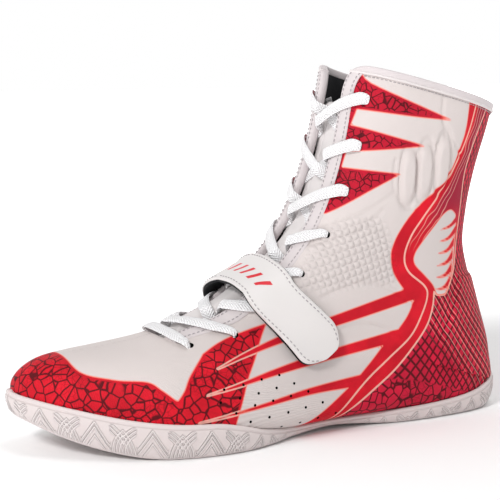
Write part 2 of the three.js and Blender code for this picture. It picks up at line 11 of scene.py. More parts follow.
import bmesh
import bpy
import numpy as np
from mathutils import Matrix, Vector


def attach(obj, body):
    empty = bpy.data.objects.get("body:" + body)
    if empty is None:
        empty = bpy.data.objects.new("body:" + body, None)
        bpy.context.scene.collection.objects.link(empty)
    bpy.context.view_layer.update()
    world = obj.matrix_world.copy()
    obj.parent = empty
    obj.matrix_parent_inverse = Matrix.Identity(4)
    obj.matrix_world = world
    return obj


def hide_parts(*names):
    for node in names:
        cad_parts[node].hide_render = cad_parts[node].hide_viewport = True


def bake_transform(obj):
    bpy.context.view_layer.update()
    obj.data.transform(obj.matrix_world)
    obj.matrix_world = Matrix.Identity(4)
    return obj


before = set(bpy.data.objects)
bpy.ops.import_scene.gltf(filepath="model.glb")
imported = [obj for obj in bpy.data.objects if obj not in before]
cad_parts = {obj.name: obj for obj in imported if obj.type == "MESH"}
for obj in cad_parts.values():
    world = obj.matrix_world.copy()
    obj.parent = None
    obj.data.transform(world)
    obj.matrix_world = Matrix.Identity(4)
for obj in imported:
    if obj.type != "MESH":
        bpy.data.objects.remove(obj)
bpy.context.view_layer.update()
MM = 0.001

# ---------------------------------------- the boot's own sizes, as in the CAD

# One row a station: front x, front z, back x, back z, centre y, outer and inner half-width, where it is widest,
# and how square its front and back halves are.
STATIONS = np.array([
    [-61, 203, 40, 177, 0, 38.5, 38.5, 0.5, 3, 2],
    [-65, 187, 36, 162, 0, 37.5, 37.5, 0.5, 3, 2],
    [-71, 160, 28, 139, 0, 36.5, 36.5, 0.5, 3, 2],
    [-79, 136, 23, 116, 0, 36.5, 36.5, 0.5, 3, 2],
    [-90, 114, 21.5, 98, 0, 36.5, 36.5, 0.5, 3, 2],
    [-104, 97, 25, 80, 0, 36, 35.5, 0.5, 3, 2.2],
    [-118, 85, 31.2, 58, 0, 36.5, 35, 0.5, 2.9, 2.4],
    [-130, 77.5, 36.8, 32, 0, 37, 34, 0.52, 2.8, 2.7],
    [-141, 71.5, 35.2, 10, 0, 37.5, 33, 0.55, 2.6, 3],
    [-151, 67.5, 0, 5, 0, 38.5, 32, 0.6, 2.5, 4],
    [-162, 63.5, -60, 5.5, 1, 42, 32, 0.62, 2.4, 4],
    [-174, 59.5, -118, 5, 2, 48, 37, 0.64, 2.3, 4],
    [-189, 56, -160, 5, 4, 50, 41, 0.66, 2.3, 4],
    [-204, 53.5, -191.5, 8, 7, 44, 37.5, 0.66, 2.3, 3.6],
    [-218.3, 51.5, -213.5, 13, 10.5, 34, 31, 0.66, 2.3, 3.2],
    [-231.5, 49, -230.5, 19, 14, 24, 23, 0.64, 2.3, 2.8],
    [-240.4, 44.5, -241, 23.5, 17, 16, 15.5, 0.6, 2.2, 2.4],
    [-246, 38.5, -246.6, 27.5, 19, 8.5, 8.5, 0.55, 2.1, 2.2],
    [-248, 32.5, -248, 32.5, 19.5, 0, 0, 0.5, 2, 2],
])
FRONT_X, FRONT_Z, BACK_X, BACK_Z, CENTRE, WIDE_OUTER, WIDE_INNER, BELLY, SQUARE_FRONT, SQUARE_BACK = range(10)
TIP = len(STATIONS) - 1
SIDES = ((1, "lateral"), (-1, "medial"))
RIM = 0.35  # station of the upper's raw top edge, inside the collar's roll
SEAM = 11.1  # station of the seam between the quarters and the vamp
THROAT_HALF = (12, 14)  # half the throat's width, at the top and from station 5 down
THROAT_END = 10.9
CORNER = 17.0  # radius of the collar's front corners
RIM_STEP = 16.5  # millimetres from station 0 to 1 at the front
EYELET_HALF = 27  # from the centre line to the eyelets
EYELET_ROWS = 8
EYELET_PITCH = 26
FIRST_EYELET = 10.75  # station of the lowest eyelets
# Side profiles as [x, z]: the sole's top edge on each side, its tread, and the floor inside it.
SOLE_TOP = {
    1: [[-248.5, 31.5], [-229.5, 27], [-202, 21.5], [-180, 18.8], [-160, 17.6], [-145, 14.5], [-128, 9.5],
        [-108, 6.8], [-85, 6.4], [-40, 8.2], [-5, 10], [18, 13], [32, 18], [40, 21]],
    -1: [[-248.5, 31.5], [-229.5, 27], [-202, 21.5], [-180, 18], [-150, 14], [-120, 10.5], [-85, 9.5],
         [-40, 9.5], [-5, 10.5], [18, 13], [32, 18], [40, 21]],
}
TREAD = [[-251, 20], [-244.5, 17.2], [-232.5, 11.2], [-218.5, 6], [-204, 2.4], [-190, 0.4], [-183, 0],
         [-120, 0], [-105, 1], [-80, 2.2], [-55, 1], [-38, 0], [21, 0], [29, 1], [38.5, 6.5]]
FLOOR = [[-247.5, 27.5], [-241, 22], [-230.5, 17.5], [-213.5, 11.5], [-191.5, 6.6], [-160, 3.7], [-118, 3.7],
         [-60, 4.4], [0, 4], [24, 4.6], [38.5, 6.5]]
STRAP_LINE = [[-0.62, 8.9], [-0.45, 8.5], [-0.3, 7.7], [-0.12, 6.5], [0, 6.05], [0.12, 6.3], [0.2, 6.85],
              [0.31, 7.75], [0.38, 8.45], [0.42, 8.9]]  # [v, u] of the strap's middle
STRAP_WIDE = 30
STRAP_ENDS = (-0.52, 0.41)  # v of its two ends
STRAP_TOP = 5.6  # height of its face over the skin


# ---------------------------------------- small maths

def mix(a, b, t):
    return a + (b - a) * t


def smooth(lo, hi, x):
    t = np.clip((np.asarray(x, float) - lo) / (hi - lo), 0, 1)
    return t * t * (3 - 2 * t)


def catmull(rows, i, t):
    """Catmull-Rom curve through rows, at the share t of the way from row i to the next."""
    a, b, c, d = (rows[np.clip(i + k, 0, len(rows) - 1)] for k in (-1, 0, 1, 2))
    return 0.5 * (2 * b + (c - a) * t + (2 * a - 5 * b + 4 * c - d) * t**2 + (3 * b - a - 3 * c + d) * t**3)


def along(u, column):
    """Smooth curve through one column of the stations."""
    u = np.asarray(u, float)
    i = np.clip(np.floor(u).astype(int), 0, TIP - 1)
    return catmull(STATIONS[:, column], i, u - i)


def profile(pairs, x):
    """Smooth curve through [x, value] pairs, flat where two values are alike."""
    xs, ys = np.array(pairs, float).T
    rise = np.diff(ys) / np.diff(xs)
    p, q = rise[:-1], rise[1:]
    inner = np.where(p * q <= 0, 0, 2 * p * q / np.where(p + q == 0, 1, p + q))
    slope = np.concatenate([rise[:1], inner, rise[-1:]])
    x = np.clip(np.asarray(x, float), xs[0], xs[-1])
    i = np.clip(np.searchsorted(xs, x, side="right") - 1, 0, len(xs) - 2)
    w = xs[i + 1] - xs[i]
    t = (x - xs[i]) / w
    start = (2 * t**3 - 3 * t**2 + 1) * ys[i] + (t**3 - 2 * t**2 + t) * slope[i] * w
    return start + (3 * t**2 - 2 * t**3) * ys[i + 1] + (t**3 - t**2) * slope[i + 1] * w


def unit(a):
    return a / np.maximum(np.linalg.norm(a, axis=-1, keepdims=True), 1e-9)


def dot(a, b):
    return (a * b).sum(-1)


def run_length(points):
    """Distance run along a line of points, from 0 at the first."""
    steps = np.linalg.norm(np.diff(points, axis=0), axis=-1)
    return np.concatenate([[0], np.cumsum(steps)])


def hollow(distance, half):
    """Bell curve: 1 where distance is nought, fading over half."""
    return np.exp(-((distance / half) ** 2))


def circle(count, square_a=1.0, square_b=1.0):
    """Cosines and sines once round; a power below 1 squares the circle along that axis."""
    turn = np.linspace(0, 2 * math.pi, count, endpoint=False)
    a, b = np.cos(turn), np.sin(turn)
    return np.sign(a) * np.abs(a) ** square_a, np.sign(b) * np.abs(b) ** square_b


# ---------------------------------------- the skin

def skin(u, v):
    u, v = np.broadcast_arrays(np.asarray(u, float), np.asarray(v, float))
    v = np.where(v > 1, v - 2, np.where(v < -1, v + 2, v))
    outer = v >= 0
    angle = math.pi * np.abs(v)
    forward = np.cos(angle) > 0
    square = np.maximum(1.6, np.where(forward, along(u, SQUARE_FRONT), along(u, SQUARE_BACK)))
    belly = along(u, BELLY)
    cosine = np.abs(np.cos(angle)) ** (2 / square)
    sine = np.abs(np.sin(angle)) ** (2 / square)
    t = np.where(forward, belly * (1 - cosine), belly + (1 - belly) * cosine)
    wide = np.maximum(0, np.where(outer, along(u, WIDE_OUTER), along(u, WIDE_INNER)))
    x = mix(along(u, FRONT_X), along(u, BACK_X), t)
    y = along(u, CENTRE) + np.where(outer, -1, 1) * wide * sine
    z = mix(along(u, FRONT_Z), along(u, BACK_Z), t)
    return np.stack([x, y, z], -1)


def outward(u, v, du=0.03, dv=0.004):
    u = np.clip(u, du, TIP - 2 * du)
    a = skin(u + du, v) - skin(u - du, v)
    b = skin(u, v + dv) - skin(u, v - dv)
    return unit(np.cross(a, b))


def raised(u, v, height):
    return skin(u, v) + outward(u, v) * np.asarray(height, float)[..., None]


def v_at(u, half):
    """v of a front point half away from the centre line; half is above 0 on the outer side."""
    half = np.asarray(half, float)
    wide = np.where(half >= 0, along(u, WIDE_OUTER), along(u, WIDE_INNER))
    sine = np.clip(np.abs(half) / wide, 0, 1) ** (along(u, SQUARE_FRONT) / 2)
    return np.sign(half) * np.arcsin(sine) / math.pi


def corner(down):
    """How far the front corner of the collar is set back, this far below the rim's top."""
    return CORNER - np.sqrt(CORNER**2 - (CORNER - np.clip(down, 0, CORNER)) ** 2)


def throat_half(u):
    return mix(*THROAT_HALF, smooth(0, 5, u)) + corner(np.asarray(u, float) * RIM_STEP)


def eyelet_stations():
    fine = np.arange(FIRST_EYELET, 0.5, -0.01)
    run = run_length(skin(fine, v_at(fine, EYELET_HALF)))
    return [float(np.interp(EYELET_PITCH * k, run, fine)) for k in range(EYELET_ROWS)]


ROW_U = eyelet_stations()


# ---------------------------------------- meshes

WELD = 0.01
SHARP = math.radians(50)


class Mesh:
    """Vertices, faces, materials and per-vertex values of one object, added part by part."""

    def __init__(self):
        self.points, self.faces, self.slots, self.values = [], [], [], []
        self.count = 0

    def add(self, points, faces, material=0, **values):
        points = np.asarray(points, float).reshape(-1, 3)
        self.points.append(points)
        self.faces += [tuple(int(i) + self.count for i in f) for f in faces]
        self.slots += [material] * len(faces)
        self.values.append((len(points), {k: np.asarray(a, float).ravel() for k, a in values.items()}))
        self.count += len(points)
        return self

    def build(self, name, materials, weld=False):
        data = bpy.data.meshes.new(name)
        data.from_pydata((np.concatenate(self.points) * MM).tolist(), [], self.faces)
        for material in materials:
            data.materials.append(material)
        data.polygons.foreach_set("material_index", self.slots)
        data.polygons.foreach_set("use_smooth", [True] * len(data.polygons))
        for key in sorted({k for _, v in self.values for k in v}):
            whole = np.concatenate([v.get(key, np.zeros(n)) for n, v in self.values])
            data.attributes.new(key, "FLOAT", "POINT").data.foreach_set("value", whole.astype(np.float32))
        data.update()
        if weld:
            work = bmesh.new()
            work.from_mesh(data)
            bmesh.ops.remove_doubles(work, verts=work.verts, dist=WELD * MM)
            work.to_mesh(data)
            work.free()
        data.set_sharp_from_angle(angle=SHARP)
        obj = bpy.data.objects.new(name, data)
        bpy.context.scene.collection.objects.link(obj)
        return obj

    def piece(self, node, looks, slot, body="boot", weld=False):
        """The visible piece that stands for one CAD node; body is None for one that is left unattached."""
        obj = self.build("visual_" + node, [MATERIAL[look] for look in looks], weld)
        if body:
            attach(obj, body)
        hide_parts(node)
        return obj


def sheet_quads(rows, columns, wrap=False, flip=False):
    i, j = np.meshgrid(np.arange(rows - 1), np.arange(columns if wrap else columns - 1), indexing="ij")
    k = (j + 1) % columns
    here, ahead = i * columns, (i + 1) * columns
    quads = np.stack([here + j, here + k, ahead + k, ahead + j], -1).reshape(-1, 4)
    return quads[:, ::-1] if flip else quads


def slab_faces(rows, columns):
    """Faces of a closed slab: an outer sheet of points, then an inner one."""
    n = rows * columns
    index = np.arange(n).reshape(rows, columns)
    faces = [sheet_quads(rows, columns), sheet_quads(rows, columns, flip=True) + n]
    for line, turn in ((index[0], 1), (index[-1], -1), (index[:, 0], -1), (index[:, -1], 1)):
        a, b = (line[:-1], line[1:])[::turn]
        faces.append(np.stack([b, a, a + n, b + n], -1))
    return np.concatenate(faces)


def even(points_at, start, stop, count, samples=240):
    """Values from start to stop that lie evenly spaced along the line that points_at(values) draws."""
    fine = np.linspace(start, stop, samples)
    run = run_length(points_at(fine))
    return np.interp(np.linspace(0, run[-1], count), run, fine)


def sweep(rings):
    """Points and faces of a closed tube through rings of points, with its two ends filled."""
    rings = np.asarray(rings, float)
    n, m = rings.shape[:2]
    faces = [tuple(q) for q in sheet_quads(n, m, wrap=True)]
    faces.append(tuple(range(m - 1, -1, -1)))
    faces.append(tuple((n - 1) * m + k for k in range(m)))
    return rings.reshape(-1, 3), faces


# ---------------------------------------- the printed pattern

# Outlines are [x, z] seen from the side, the same on both sides of the boot. Each run of an outline is one
# smooth curve, and the outline has a corner where two runs meet.
TOE_PATCH = [
    [[-260, 62], [-225, 62]],
    [[-225, 62], [-223, 46], [-209, 42], [-194, 41], [-188, 37], [-181, 31]],
    [[-181, 31], [-177, 36], [-172, 43], [-161, 52]],
    [[-161, 52], [-146, 57.5], [-121, 64]],
    [[-121, 64], [-132, 48], [-140, 38], [-145, 27], [-150, 12], [-151, -5]],
    [[-151, -5], [-260, -5]],
]
SPIKES = [
    [[-95, 207], [-53, 207]],
    [[-53, 207], [-55.5, 192], [-8, 171]],
    [[-8, 171], [-35, 174], [-62, 178]],
    [[-62, 178], [-65, 169]],
    [[-65, 169], [-46, 163], [-25, 157]],
    [[-25, 157], [-46, 156], [-68, 155]],
    [[-68, 155], [-71, 146]],
    [[-71, 146], [-56, 144], [-41, 142]],
    [[-41, 142], [-60, 133], [-81, 121]],
    [[-81, 121], [-95, 121]],
]
RIBBON = [
    [[6, 205], [5, 181], [4, 166], [1, 156], [-6, 142], [-18, 131], [-32, 121], [-41, 111], [-46, 102],
     [-47, 96], [-45, 87], [-38, 77]],
    [[-38, 77], [-87, 65], [-156, 45]],
    [[-156, 45], [-84, 60], [-31, 71]],
    [[-31, 71], [-36, 62], [-42, 55]],
    [[-42, 55], [-106, 44], [-165, 33]],
    [[-165, 33], [-106, 40], [-52, 47]],
    [[-52, 47], [-60, 39], [-68, 32]],
    [[-68, 32], [-108, 28], [-170, 19]],
    [[-170, 19], [-108, 25], [-76, 26]],
    [[-76, 26], [-90, 17], [-112, 4]],
    [[-112, 4], [70, 4], [70, 205]],
]
HEEL_PATCH = [
    [[28, 205], [24, 182], [14, 160], [8, 143], [6, 128], [5, 112], [4, 101], [1, 88], [-3, 79], [-8, 73],
     [-14, 72], [-17, 74]],
    [[-17, 74], [-18, 66], [-22, 56], [-31, 45], [-44, 33], [-61, 22], [-75, 13], [-92, 2]],
    [[-92, 2], [70, 2], [70, 205]],
]
LEAF = [
    [[1, 117], [-4, 120], [-10, 118], [-17, 112], [-25, 104.5], [-31, 97], [-31, 91], [-24, 84], [-18, 78],
     [-15, 72]],
    [[-15, 72], [-8, 72], [-3, 79], [0, 88], [2, 98], [3, 109], [1, 117]],
]
LEAF_CUTS = 6
CENTRE_LINE = [[14, 205], [11, 181], [6, 162], [-2, 146], [-14, 130], [-26, 117], [-34, 107], [-38, 96],
               [-35, 87], [-24, 78], [-22, 72], [-26, 62], [-34, 50], [-49, 39], [-66, 27], [-87, 8], [-94, 2]]


def flowing(points, steps=8):
    """Catmull-Rom curve through points."""
    points = np.asarray(points, float)
    if len(points) < 3:
        return points
    last = len(points) - 1
    t = np.linspace(0, last, last * steps + 1)
    i = np.clip(np.floor(t).astype(int), 0, last - 1)
    return catmull(points, i, (t - i)[:, None])


def closed_outline(runs):
    """One ring of points from an outline's runs."""
    return np.concatenate([flowing(run)[:-1] for run in runs[:-1]] + [flowing(runs[-1])])


def to_line(points, line):
    """Distance from each point to a line of points, and the direction it is measured in."""
    best = np.full(len(points), 1e9)
    away = np.zeros_like(points)
    for a, b in zip(line[:-1], line[1:]):
        step = b - a
        t = np.clip(((points - a) @ step) / max(step @ step, 1e-9), 0, 1)
        off = points - a - t[:, None] * step
        far = np.linalg.norm(off, axis=1)
        near = far < best
        best[near] = far[near]
        away[near] = off[near]
    return best, away / np.maximum(best, 1e-6)[:, None]


def is_inside(points, outline):
    x, z = points.T
    odd = np.zeros(len(points), bool)
    for (ax, az), (bx, bz) in zip(outline, np.roll(outline, -1, axis=0)):
        spans = (az > z) != (bz > z)
        if spans.any():
            odd ^= spans & (x < ax + (bx - ax) * (z - az) / (bz - az if bz != az else 1e-9))
    return odd


def on_surface(distance, away, normals):
    """A distance seen from the side, as the distance along the surface."""
    tilt = away[:, 0] * normals[:, 0] + away[:, 1] * normals[:, 2]
    return distance / np.sqrt(np.maximum(1 - tilt**2, 0.12))


def depth_in(outline, flat, normals):
    """How far inside an outline each point lies, negative outside."""
    distance, away = to_line(flat, np.concatenate([outline, outline[:1]]))
    return on_surface(distance, away, normals) * np.where(is_inside(flat, outline), 1, -1)


def leaf_cut(k):
    """One tapered notch in the leaf's back edge."""
    tip = np.array([-12 - 0.8 * k, 109 - 6.8 * k])
    root = np.array([5 - 1.6 * k, 116 - 7.2 * k])
    wide = np.array([0.8, 3.1])
    middle = (tip + root) / 2 + np.array([0.5, -1.8])
    return np.concatenate([flowing([tip, middle + wide * 0.35, root + wide])[:-1],
                           flowing([root - wide, middle - wide * 0.35, tip])[:-1]])


def around(u, v):
    """Distance round the boot from the back or bottom centre line to (u, v)."""
    stations = np.linspace(0, TIP - 0.05, 90)
    fine = np.linspace(0, 1, 401)
    out = np.zeros(np.shape(u))
    row = np.clip(np.asarray(u) / stations[-1] * (len(stations) - 1), 0, len(stations) - 1.001)
    i, f = np.floor(row).astype(int), row % 1
    for side in (1, -1):
        line = skin(stations[:, None], side * fine)
        steps = np.linalg.norm(np.diff(line, axis=1), axis=-1)
        run = np.concatenate([np.zeros((len(stations), 1)), np.cumsum(steps, axis=1)], axis=1)
        run = run[:, -1:] - run
        column = np.clip(np.abs(v) * 400, 0, 399.99)
        j, g = np.floor(column).astype(int), column % 1
        low = mix(run[i, j], run[i, j + 1], g)
        high = mix(run[i + 1, j], run[i + 1, j + 1], g)
        out = np.where(np.sign(v + 1e-9) == side, mix(low, high, f), out)
    return out


def print_values(u, v):
    """The printed shapes at each point of the skin, as the material wants them."""
    shape = np.shape(u)
    normals = outward(u, v).reshape(-1, 3)
    place = skin(u, v).reshape(-1, 3)
    flat = place[:, [0, 2]]

    def depth(runs):
        return depth_in(closed_outline(runs), flat, normals)

    leaf = depth(LEAF)
    for k in range(LEAF_CUTS):
        leaf = np.minimum(leaf, -depth_in(leaf_cut(k), flat, normals))
    centre = flowing(CENTRE_LINE)
    off, away = to_line(flat, centre)
    behind = np.sign(away[:, 0] + 1e-9)
    values = {
        "crackle": np.maximum(depth(TOE_PATCH), depth(SPIKES)),
        "solid": np.minimum(depth(RIBBON), -leaf),
        "net": np.minimum(depth(HEEL_PATCH), -leaf),
        "band": on_surface(off, away, normals) * behind,
        "across": around(u, v).ravel(),
        "puff": smooth(-3, 5, puff_depth(flat)),
    }
    return {k: a.reshape(shape) for k, a in values.items()}


# ---------------------------------------- embossing of the upper

OVALS = [[-35.8, 140.3], [-25, 142.8], [-12.3, 147]]  # [x, z] of their middles
OVAL_SIZE = (4.9, 14.6)  # half width, half height
OVAL_POWER = 2.6
OVAL_LEAN = 0.07
OVAL_HIGH = 1.5
OVAL_RING = 1.1  # depth of the groove round each
PUFF_HIGH = 0.4
GROOVE_DEEP = 0.75
RIPPLE = 0.22  # the fabric never lies quite flat
PUFFS = [[-103, 80], [-97, 96], [-88, 108], [-76, 118], [-54, 118], [-45, 100], [-44, 81], [-60, 81],
         [-80, 79]]
PUFF_PITCH = 3.8
PUFF_TURN = math.radians(16)
GROOVES = [
    [[-90, 76], [-76, 81], [-60, 82], [-44, 76], [-32, 68]],
    [[-80, 58], [-66, 60], [-50, 56], [-40, 50]],
    [[-14, 185], [-14, 172], [-11, 162], [-20, 157], [-34, 158]],
    [[-14, 172], [-4, 158], [2, 150]],
    [[-44, 150], [-45, 134], [-38, 124], [-28, 122]],
    [[-86, 112], [-62, 122], [-46, 131]],
    [[-97, 104], [-70, 110], [-52, 122]],
]


def puff_depth(flat):
    """How far inside the padded field a point lies, seen from the side."""
    outline = flowing(PUFFS + PUFFS[:1])
    return to_line(flat, outline)[0] * np.where(is_inside(flat, outline[:-1]), 1, -1)


def emboss(u, v):
    """Height of the moulded relief over the plain skin."""
    place = skin(u, v).reshape(-1, 3)
    x, y, z = place.T
    flat = place[:, [0, 2]]
    height = np.zeros(len(place))
    for ox, oz in OVALS:
        aside = np.abs((x - ox - OVAL_LEAN * (z - oz)) / OVAL_SIZE[0])
        up = np.abs((z - oz) / OVAL_SIZE[1])
        far = ((aside**OVAL_POWER + up**OVAL_POWER) ** (1 / OVAL_POWER) - 1) * OVAL_SIZE[0]
        height += OVAL_HIGH * (1 - smooth(-2.0, 0.3, far)) - OVAL_RING * hollow(far - 0.7, 0.8)
    height += PUFF_HIGH * smooth(-3, 5, puff_depth(flat))
    for groove in GROOVES:
        height -= GROOVE_DEEP * hollow(to_line(flat, flowing(groove))[0], 0.9)
    height += RIPPLE * np.sin(x / 11 + 1.6 * np.sin(z / 17 + y / 23)) * np.sin(z / 13 + 1.3 * np.sin(x / 19))
    return height.reshape(np.shape(u))


# ---------------------------------------- materials

class Paint:
    """A Principled material and short ways to wire nodes into it."""

    def __init__(self, name, colour=(0.8, 0.8, 0.8), roughness=0.7, specular=0.3, sheen=0.0):
        self.material = bpy.data.materials.new(name)
        self.material.use_nodes = True
        self.tree = self.material.node_tree
        self.bsdf = self.tree.nodes["Principled BSDF"]
        self.set("Base Color", (*colour, 1))
        self.set("Roughness", roughness)
        self.set("Specular IOR Level", specular)
        self.set("Sheen Weight", sheen)

    def wire(self, value, socket):
        if isinstance(value, bpy.types.NodeSocket):
            self.tree.links.new(value, socket)
        else:
            socket.default_value = value

    def set(self, name, value):
        self.wire(value, self.bsdf.inputs[name])

    def node(self, kind, settings=None, **inputs):
        made = self.tree.nodes.new("ShaderNode" + kind)
        for key, value in (settings or {}).items():
            setattr(made, key, value)
        for key, value in inputs.items():
            self.wire(value, made.inputs[key.replace("_", " ")])
        return made

    def math(self, operation, *values):
        made = self.node("Math", {"operation": operation})
        for k, value in enumerate(values):
            self.wire(value, made.inputs[k])
        return made.outputs[0]

    def add(self, a, b):
        return self.math("ADD", a, b)

    def less(self, a, b):
        return self.math("SUBTRACT", a, b)

    def times(self, a, b):
        return self.math("MULTIPLY", a, b)

    def value(self, name):
        return self.node("Attribute", {"attribute_name": name}).outputs["Fac"]

    def place(self):
        return self.node("TexCoord").outputs["Object"]

    def axes(self):
        split = self.node("SeparateXYZ", Vector=self.place())
        return [self.times(split.outputs[k], 1 / MM) for k in range(3)]

    def rise(self, value, lo, hi):
        """0 below lo, 1 above hi."""
        smoothly = {"interpolation_type": "SMOOTHSTEP"}
        return self.node("MapRange", smoothly, Value=value, From_Min=lo, From_Max=hi).outputs["Result"]

    def fall(self, value, lo, hi):
        """1 below lo, 0 above hi."""
        return self.less(1.0, self.rise(value, lo, hi))

    def line(self, value, at, half, soft=0.25):
        """1 within half of at, fading over soft."""
        return self.fall(self.math("ABSOLUTE", self.less(value, at)), half, half + soft)

    def both(self, *values):
        out = values[0]
        for value in values[1:]:
            out = self.times(out, value)
        return out

    def most(self, *values):
        out = values[0]
        for value in values[1:]:
            out = self.math("MAXIMUM", out, value)
        return out

    def mix(self, factor, a, b):
        made = self.node("Mix", {"data_type": "RGBA"})
        self.wire(factor, made.inputs[0])
        for socket, value in ((made.inputs[6], a), (made.inputs[7], b)):
            self.wire((*value, 1) if isinstance(value, tuple) else value, socket)
        return made.outputs[2]

    def noise(self, scale, detail=3.0, rough=0.5):
        made = self.node("TexNoise", Vector=self.place(), Scale=scale, Detail=detail, Roughness=rough)
        return made.outputs["Fac"]

    def bump(self, height, depth):
        """height times depth is in millimetres."""
        made = self.node("Bump", Height=self.times(height, depth), Distance=MM, Strength=1.0)
        before = self.bsdf.inputs["Normal"]
        if before.is_linked:
            self.tree.links.new(before.links[0].from_socket, made.inputs["Normal"])
        self.tree.links.new(made.outputs["Normal"], before)


WHITE = (0.63, 0.568, 0.552)
RED = (0.62, 0.0085, 0.022)
DEEP_RED = (0.5, 0.010, 0.037)
# darker red for the spikes, and painted shade on the red towards the upper back
DARK_RED_AND_BACK_SHADE = (0.33, 0.009, 0.034)
CRACK = (0.055, 0.004, 0.007)
GLOW = (0.86, 0.13, 0.085)
PALE = (0.84, 0.46, 0.38)
LEATHER = (0.68, 0.65, 0.64)


def shade(colour, share):
    return tuple(min(1, c * share) for c in colour)


def weave(paint, a, b, pitch, depth):
    """Plain weave: threads along a and b (millimetres), pitch apart."""
    turn = 2 * math.pi / pitch
    waves = [paint.math("SINE", paint.times(axis, turn)) for axis in (a, b)]
    paint.bump(paint.times(*waves), depth)


PRINT_EDGE = 0.25  # half the width that a printed edge fades over
SPIKES_FROM = (100.0, 115.0)  # height where the lower crackle gives way to the spikes'
CELLS = (175.0, 55.0, 330.0)  # cells in a metre: toe crackle, how many more in the spikes, fine cracks
HEEL_AT = -10.0  # x of the middle that the heel is round about
HEEL_RADIUS = 38.0
PALE_STREAKS = (3.0, 5.6, 8.6)  # how far behind the centre line


def print_material():
    """White knit with the red print; the mesh holds how far each point lies inside each printed shape."""
    p = Paint("upper_print", WHITE, roughness=0.6, specular=0.12)
    crackle, solid, net, band, across = (p.value(k) for k in ("crackle", "solid", "net", "band", "across"))
    x, y, z = p.axes()
    on_crackle, on_solid, on_net = (p.rise(f, -PRINT_EDGE, PRINT_EDGE) for f in (crackle, solid, net))
    in_spikes = p.rise(z, *SPIKES_FROM)
    # cracks: the borders of uneven cells
    bend = p.node("TexNoise", Vector=p.place(), Scale=90.0).outputs["Color"]
    bend = p.node("VectorMath", {"operation": "SCALE"}, Vector=bend, Scale=0.0026).outputs[0]
    moved = p.node("VectorMath", {"operation": "ADD"})
    p.wire(p.place(), moved.inputs[0])
    p.wire(bend, moved.inputs[1])

    def borders(scale, lo, hi):
        cells = p.node("TexVoronoi", {"feature": "DISTANCE_TO_EDGE"}, Vector=moved.outputs[0], Scale=scale,
                       Randomness=1.0)
        return p.fall(cells.outputs["Distance"], lo, hi)

    coarse = borders(p.add(CELLS[0], p.times(in_spikes, CELLS[1])), 0.03, 0.105)
    cracks = p.most(coarse, p.both(borders(CELLS[2], 0.02, 0.07), p.rise(p.noise(45.0), 0.5, 0.58), 0.4))
    red = p.mix(p.rise(p.noise(60.0), 0.3, 0.75), shade(RED, 0.82), shade(RED, 1.12))
    cracked = p.mix(p.both(in_spikes, 0.5), red, DARK_RED_AND_BACK_SHADE)
    cracked = p.mix(p.both(cracks, p.rise(crackle, 0.8, 1.8), 0.92), cracked, CRACK)
    # heel: scales between slanting lines, thin pale lines across them, plain cracks below
    round_heel = p.times(p.math("ARCTAN2", p.math("ABSOLUTE", y), p.less(x, HEEL_AT)), HEEL_RADIUS)
    slants = [p.add(p.times(round_heel, 0.8 * s), p.times(z, 0.6)) for s in (1, -1)]
    wavy = p.times(p.noise(55.0), 2.4)
    net_line = p.most(*(p.fall(p.math("PINGPONG", p.add(s, wavy), 2.1), 0.25, 0.85) for s in slants))
    pale_line = p.both(p.fall(p.math("PINGPONG", p.add(slants[1], 1.0), 1.6), 0.1, 0.3),
                       p.rise(p.less(z, round_heel), -26.0, -6.0), p.fall(z, 78.0, 98.0))
    low = p.fall(p.less(z, p.times(round_heel, 0.3)), 0.0, 1.5)
    black = p.most(p.both(net_line, p.less(1.0, low)), p.both(cracks, low))
    heel = p.mix(p.rise(p.noise(70.0), 0.35, 0.7), DEEP_RED, shade(DEEP_RED, 1.35))
    heel = p.mix(p.both(black, 0.93), heel, CRACK)
    heel = p.mix(p.both(pale_line, 0.7), heel, PALE)
    # thin flowing lines up the back
    flow = p.add(band, p.times(p.less(p.noise(70.0, 1.0), 0.5), 7.0))
    streaks = p.most(*(p.line(flow, at, 0.12, 0.3) for at in PALE_STREAKS))
    streaks = p.both(streaks, p.rise(z, 96.0, 112.0), 0.55)
    # painted shade: the red print darkens towards the back, high up the shaft
    behind = p.both(p.rise(band, 1.0, 5.0), p.rise(z, 104.0, 128.0))
    # each print over the one before, with pale lines along the borders
    whole = p.most(crackle, solid, net)
    colour = WHITE
    for factor, over in (
        (on_crackle, cracked),
        (p.both(p.line(solid, -0.35, 0.3, 0.35), on_crackle, 0.8), PALE),
        # the red, with painted shade towards the back
        (on_solid, p.mix(behind, red, DARK_RED_AND_BACK_SHADE)),
        (p.both(streaks, on_solid), PALE),
        (on_net, heel),
        (p.both(p.line(band, 0.0, 0.45), on_solid, 0.9), PALE),
        (p.both(p.line(net, 0.0, 0.45), 0.9), PALE),
        (p.both(p.line(whole, -0.1, 0.2, 0.4), 0.6), GLOW),
    ):
        colour = p.mix(factor, colour, over)
    p.set("Base Color", colour)
    # padded field of small square cushions, over the weave and the creases of the whole cloth
    tilt = [p.add(p.times(a, math.cos(PUFF_TURN)), p.times(b, math.sin(PUFF_TURN)))
            for a, b in ((x, z), (z, p.times(x, -1.0)))]
    cushions = [p.math("ABSOLUTE", p.math("SINE", p.times(t, math.pi / PUFF_PITCH))) for t in tilt]
    p.bump(p.times(p.math("POWER", p.times(*cushions), 0.8), p.value("puff")), 0.85)
    weave(p, across, z, 0.9, 0.035)
    p.bump(p.noise(320.0, 4.0), 0.12)
    p.bump(p.noise(40.0, 2.0), 0.5)
    return p.material


def plain_fabric(name, colour, roughness=0.85, grain=0.12, sheen=0.2):
    p = Paint(name, colour, roughness=roughness, specular=0.2, sheen=sheen)
    p.bump(p.noise(900.0, 4.0), grain)
    p.bump(p.noise(60.0, 2.0), 0.35)
    return p.material


BARS = 6
BARS_AT = 6.0  # their middle, from the strap's crossing of the centre line
BAR_PITCH = 7.4
BAR_SIZE = (1.25, 4.2)  # half width, half height
BAR_SLANT = 0.35


